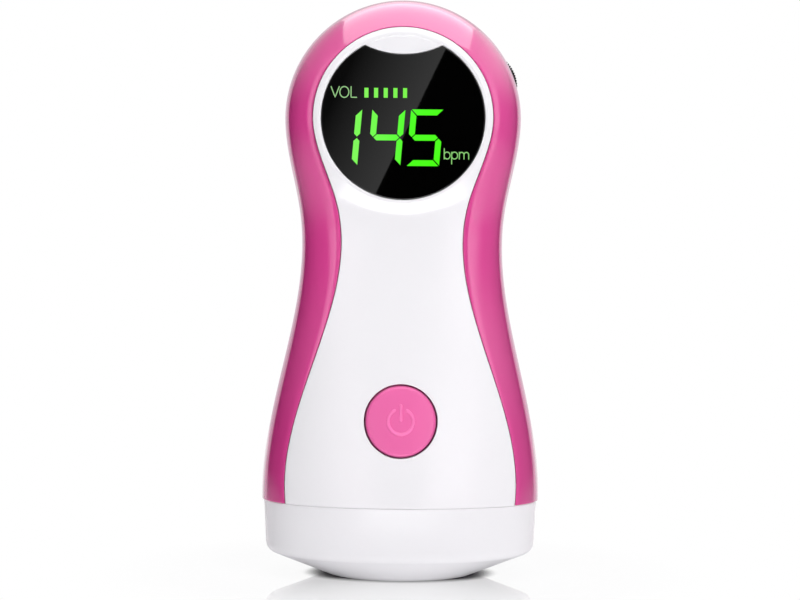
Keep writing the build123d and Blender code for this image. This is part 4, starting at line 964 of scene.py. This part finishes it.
BASELINE = 103.45
oval, side_bowl = bowl(0.5, 0.5, 0.5, 0.5, 90, 450, 33), bowl(0.5, 0.5, 0.5, 0.5, 150, -150, 25)
stem, arch = [(0, 1), (0, 0)], [(1, 0)] + bowl(0.5, 0.62, 0.5, 0.38, 0, 180, 13)
LETTERS = (
    # V, O and L
    ([(0, 1), (0.5, 0), (1, 1)], -17.72, 118.4, 2.0, 2.58),
    (oval, -15.58, 118.36, 2.22, 2.66),
    ([(0, 1), (0, 0), (1, 0)], -12.82, 118.4, 1.36, 2.58),
    # b and p, then m
    (stem, 10.16, BASELINE, 1.0, 2.5), (side_bowl, 10.11, BASELINE, 1.49, 1.7),
    (stem, 11.99, BASELINE - 1.2, 1.0, 2.85), (side_bowl, 11.94, BASELINE, 1.49, 1.7),
    (stem, 13.86, BASELINE, 1.0, 1.66),
    (arch, 13.86, BASELINE, 1.15, 1.66), (arch, 15.01, BASELINE, 1.15, 1.66),
)
marks = [ribbon(stroke(*letter), 0.125, window_face, 0.03, 0.06) for letter in LETTERS]
make_shell("display_legends", *zip(*marks), legend_green, "casing", "lit_green")


# ======== contact springs
def coil(x, y, start, end, radius_start, radius_end, turns, wire):
    """Wire coil along Z: a ring of points carried along a tapering helix, its ends closed flat."""
    t = np.linspace(0, 1, int(turns * 28))
    ease = np.clip((t - 0.12) / 0.76, 0, 1)
    angle = 2 * pi * turns * t
    radius = radius_start + (radius_end - radius_start) * t
    rise = start + (end - start) * ease
    line = points_at(x + radius * np.cos(angle), y + radius * np.sin(angle), rise)
    tangent = np.gradient(line, axis=0)
    tangent /= np.linalg.norm(tangent, axis=1)[:, None]
    side = np.cross(tangent, np.array([0, 0, 1.0]))
    side /= np.linalg.norm(side, axis=1)[:, None]
    up = np.cross(side, tangent)
    turn = full_turn(8)[:, None]
    tube = line[:, None] + wire / 2 * (side[:, None] * np.cos(turn) + up[:, None] * np.sin(turn))
    first, last = (np.repeat(line[k][None, None], 9, axis=1) for k in (0, -1))
    return np.concatenate([first, tube, last])


CELL_X, CELL_Y, WIRE = 5.45, 5.45, 0.6
PLATE, SPRING = 0.4 + WIRE / 2, 4.5 - WIRE / 2
coils = [
    coil(CELL_X, CELL_Y, BAY_BOTTOM + PLATE, BAY_BOTTOM + SPRING, 3.5, 2.5, 4.5, WIRE),
    coil(-CELL_X, CELL_Y, BAY_TOP - PLATE, BAY_TOP - SPRING, 3.5, 2.5, 4.5, WIRE),
]
looks = (finish["nickel_plated_spring_wire"], "casing", "spring_steel", ("contact_springs",), 60)
make_solid("contact_spring_coils", coils, *looks)

# ======== pieces whose solids are right as they are
CARRIED = {
    "case_screws": "zinc_plated_steel",
    "battery_tray": "moulded_abs_tray",
    "contact_plates": "nickel_plated_steel",
    "battery_left": "film_sleeve_left",
    "battery_right": "film_sleeve_right",
    "window_gasket": "closed_cell_foam_black",
    "display_module": "moulded_reflector_black",
    "switch_plunger": "moulded_acetal_red",
    "switch_body": "moulded_epoxy_package",
    "switch_board": "glass_epoxy_board_green",
    "switch_board_screws": "zinc_plated_steel",
    "switch_leads": "pvc_insulation_red",
    "main_board": "glass_epoxy_board_green",
    "board_screws": "zinc_plated_steel",
    "processor_chip": "moulded_epoxy_package",
    "amplifier_chip": "moulded_epoxy_package",
    "capacitors": "shrink_sleeve_blue",
    "probe_connector": "moulded_nylon_ivory",
    "volume_shaft": "turned_aluminium",
    "wheel_screw": "zinc_plated_steel",
    "volume_potentiometer": "moulded_phenolic_dark",
    "earphone_jack": "moulded_pbt_black",
    "jack_barrel": "nickel_plated_steel",
    "speaker_frame": "stove_paint_black",
    "speaker_cone": "polyester_film",
    "speaker_magnet": "plated_magnet_cup",
    "speaker_leads": "pvc_insulation_red",
    "battery_leads": "pvc_insulation_red",
    "transducer_face": "acoustic_window_resin",
    "transducer_seal": "silicone_rubber_black",
    "transducer_cup": "moulded_polymer_black",
    "transmit_crystal": "fired_piezo_ceramic",
    "receive_crystal": "fired_piezo_ceramic",
    "crystal_divider": "cork_sheet",
    "crystal_backing": "filled_epoxy_grey",
    "transducer_cable": "pvc_sheath_black",
}
for node, name in CARRIED.items():
    carry(node, finish[name])

# ======== floor, light and camera
scene = bpy.context.scene
scene.view_settings.view_transform = "Standard"


def stage_sheet(name, corners, material):
    """A flat four-cornered sheet of the set, corners in mm."""
    mesh = bpy.data.meshes.new(name)
    mesh.from_pydata([tuple(c * MM for c in corner) for corner in corners], [], [(0, 1, 2, 3)])
    mesh.materials.append(material)
    sheet = bpy.data.objects.new(name, mesh)
    scene.collection.objects.link(sheet)
    sheet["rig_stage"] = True
    return sheet


def floor_board():
    """Gloss white board: bright white with a soft shadow, and a mirror image that fades towards the front.

    The shadow and the mirror image end in an ellipse round the foot. A thin line of painted shadow lies where
    the foot nearly touches the board, by how closed the place is within 3 mm.
    """
    material, tree, place = new_material("gloss_laminate_white")
    path = add(tree, "LightPath")
    parts = add(tree, "SeparateXYZ", {"Vector": place})
    white = add(tree, "Emission", {"Color": (1, 1, 1, 1), "Strength": 1.0})
    smooth = {"interpolation_type": "SMOOTHSTEP"}
    times = {"operation": "MULTIPLY"}

    # near the foot, what the camera sees: white, a share of lit matte board, and the mirror image
    matte = add(tree, "BsdfDiffuse", {"Color": srgb("#f8f8fa")})
    flat = add(tree, "Mapping", {"Scale": (1 / (100 * MM), 1 / (120 * MM), 0), "Vector": place})
    away = add(tree, "VectorMath", {0: flat}, operation="LENGTH")
    near = mapped(tree, (away, "Value"), 0.4, 0.8, 1.0, 0.0, **smooth)
    shaded = add(tree, "Math", {0: near, 1: 0.12}, **times)
    lit = add(tree, "MixShader", {0: shaded, 1: white, 2: matte})
    image = add(tree, "BsdfGlossy", {"Color": (1, 1, 1, 1), "Roughness": 0.0})
    depth = mapped(tree, (parts, "Y"), -70 * MM, -20 * MM, 0.17, 0.44)
    share = add(tree, "Math", {0: depth, 1: near}, **times)
    shown = add(tree, "MixShader", {0: share, 1: lit, 2: image})

    # what the object mirrors: the board, and plain white far behind
    board = add(tree, "BsdfPrincipled", {"Base Color": srgb("#f8f8fa"), "Roughness": 0.05, "IOR": 1.5})
    heading = add(tree, "VectorMath", {0: place}, operation="NORMALIZE")
    way = add(tree, "SeparateXYZ", {"Vector": heading})
    behind = mapped(tree, (way, "Y"), 0.8, 0.9)
    mirrored = add(tree, "Math", {0: (path, "Is Glossy Ray"), 1: behind}, **times)
    unseen = add(tree, "MixShader", {0: mirrored, 1: board, 2: white})
    seen = add(tree, "Math", {0: (path, "Is Camera Ray"), 1: (path, "Is Transmission Ray")}, operation="ADD")
    mixed = add(tree, "MixShader", {0: seen, 1: unseen, 2: shown})

    # the painted contact shadow, a dark line where the foot nearly touches, weaker in front of the foot's
    # middle
    crevice = add(tree, "AmbientOcclusion", {"Distance": 3.0 * MM}, samples=8)
    closed = mapped(tree, (crevice, "AO"), 0.0, 0.7, 1.0, 0.0, **smooth)
    sides = mapped(tree, (parts, "Y"), -18.5 * MM, -11 * MM, 0.4, 1.0)
    line = add(tree, "Math", {0: closed, 1: sides}, **times)
    line = add(tree, "Math", {0: line, 1: (path, "Is Camera Ray")}, **times)
    # painted shadow: this dark matte colour is mixed in along the contact line
    dark = add(tree, "BsdfDiffuse", {"Color": srgb("#241b2a")})
    contact = add(tree, "MixShader", {0: line, 1: mixed, 2: dark})
    return finished(material, contact)


FLOOR, FAR = -0.05, 3000
corners = [(-FAR, -FAR, FLOOR), (FAR, -FAR, FLOOR), (FAR, FAR, FLOOR), (-FAR, FAR, FLOOR)]
stage_sheet("floor", corners, floor_board())

# the room that the gloss reflects: a tint, then (place, brightness) from its left at 0 to its right at 1
ROOM = {
    "front": ((1.0, 0.8, 0.92), (
        (0.0, 0.02), (0.1, 0.03), (0.17, 0.6), (0.32, 0.75), (0.42, 0.0), (0.58, 0.0), (0.68, 0.8),
        (0.84, 0.74), (0.96, 0.16),
    )),
    "back": ((1.0, 0.86, 0.94), (
        (0.0, 0.0), (0.15, 0.0), (0.19, 0.38), (0.8, 0.42), (0.84, 0.03), (1.0, 0.1),
    )),
    "ceiling": ((1.0, 1.0, 1.0), ((0.0, 0.3), (0.4, 0.4), (0.6, 0.5), (1.0, 0.85))),
}
world = bpy.data.worlds.new("studio_room")
scene.world = world
world.use_nodes = True
tree = world.node_tree
tree.nodes.clear()
path = add(tree, "LightPath")
place = add(tree, "TexCoord")
parts = add(tree, "SeparateXYZ", {"Vector": (place, "Generated")})
across = mapped(tree, (parts, "X"), -1.0, 1.0)
walls = {}
for wall, (tint, stops) in ROOM.items():
    run = add(tree, "ValToRGB", {"Fac": across})
    colours = [(position, (*(value * part for part in tint), 1)) for position, value in stops]
    set_stops(run.color_ramp, "EASE", colours)
    walls[wall] = run
# front to back along Y, then up to the ceiling along Z
for wall, near, far, axis, start, end in (
    ("low", "front", "back", "Y", -0.15, 0.15),
    ("all", "low", "ceiling", "Z", 0.1, 0.65),
):
    share = mapped(tree, (parts, axis), start, end, interpolation_type="SMOOTHSTEP")
    mix = add(tree, "Mix", {"Factor": share, "A": walls[near], "B": walls[far]}, data_type="RGBA")
    walls[wall] = (mix, "Result")
# diffuse rays see a plain dim room, glossy rays see those walls, and the camera sees white
room = add(tree, "Background", {"Color": srgb("#f8f8ff"), "Strength": 0.13})
mirror = add(tree, "Background", {"Strength": 2.0, "Color": walls["all"]})
white = add(tree, "Background", {"Color": (1, 1, 1, 1), "Strength": 1.0})
glossy = add(tree, "MixShader", {0: (path, "Is Glossy Ray"), 1: room, 2: mirror})
seen = add(tree, "Math", {0: (path, "Is Camera Ray"), 1: (path, "Is Transmission Ray")}, operation="ADD")
seen = add(tree, "Math", {0: seen, 1: (path, "Is Singular Ray")}, operation="ADD", use_clamp=True)
shown = add(tree, "MixShader", {0: seen, 1: glossy, 2: white})
add(tree, "OutputWorld", {"Surface": shown})


def softbox(name, place, aim, width, height, power, spread=180, mirrored=False):
    """A rectangular soft light at a place in mm, turned to face its aim.

    It only lights the object up or, when it is mirrored, it is only seen in the object's gloss.
    """
    light = bpy.data.lights.new(name, "AREA")
    light.shape, light.size, light.size_y = "RECTANGLE", width * MM, height * MM
    light.energy = power
    light.spread = radians(spread)
    lamp = bpy.data.objects.new(name, light)
    lamp.location = Vector(place) * MM
    lamp.rotation_euler = (Vector(aim) - Vector(place)).to_track_quat("-Z", "Y").to_euler()
    lamp.visible_camera = False
    lamp.visible_glossy = mirrored
    lamp.visible_diffuse = not mirrored
    scene.collection.objects.link(lamp)


MIDDLE = (0, 0, 72)
softbox("front_right", (380, -700, 200), MIDDLE, 500, 500, 3.5)
softbox("front_left", (-280, -760, 150), MIDDLE, 500, 500, 2.2)
softbox("back", (0, 760, 330), MIDDLE, 700, 500, 3.4)
softbox("top", (0, -60, 560), MIDDLE, 400, 400, 1.4)
softbox("low_front", (0, -85, 2), (0, -20, 90), 190, 70, 0.16, spread=100, mirrored=True)


def mirrored_card(name, corners, heading, start, end, first, last):
    """White card seen only in glossy reflections, with straight edges and one even run of brightness.

    The run goes along the heading, from the first strength at its start to the last at its end.
    """
    material, tree, place = new_material(name + "_white")
    along = add(tree, "VectorMath", {0: place, 1: heading}, operation="DOT_PRODUCT")
    level = mapped(tree, (along, "Value"), start * MM, end * MM, first, last)
    glow = add(tree, "Emission", {"Color": (1, 1, 1, 1), "Strength": level})
    card = stage_sheet(name, corners, finished(material, glow))
    card.visible_camera = card.visible_diffuse = card.visible_shadow = card.visible_transmission = False


glare = [(-90, -400, 80), (-26.2, -400, 80), (34.6, -400, 208), (-90, -400, 208)]
mirrored_card("glare_card", glare, (1.0, 0.0, -0.4735), -101, -64, 0.07, 0.93)
overhead = [(-285, -500, 460), (-195, 240, 460), (245, 240, 460), (325, -500, 460)]
mirrored_card("overhead_card", overhead, (1.0, 0.0, 0.0), -250, 300, 2.8, 3.4)
overhead_end = [(-195, 240, 460), (-205, 1000, 460), (255, 1000, 460), (245, 240, 460)]
mirrored_card("overhead_end_card", overhead_end, (0.0, 1.0, 0.0), 240, 560, 2.2, 0.7)

lens = bpy.data.cameras.new("camera")
lens.sensor_width = 36.0
lens.lens = 98.0
lens.shift_x, lens.shift_y = -0.0022, -0.0165
lens.clip_start, lens.clip_end = 0.01, 20.0
camera = bpy.data.objects.new("camera", lens)
camera.location = (0.0, -550 * MM, 72 * MM)
camera.rotation_euler = (pi / 2, radians(-0.46), 0.0)
scene.collection.objects.link(camera)
scene.camera = camera

low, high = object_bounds()
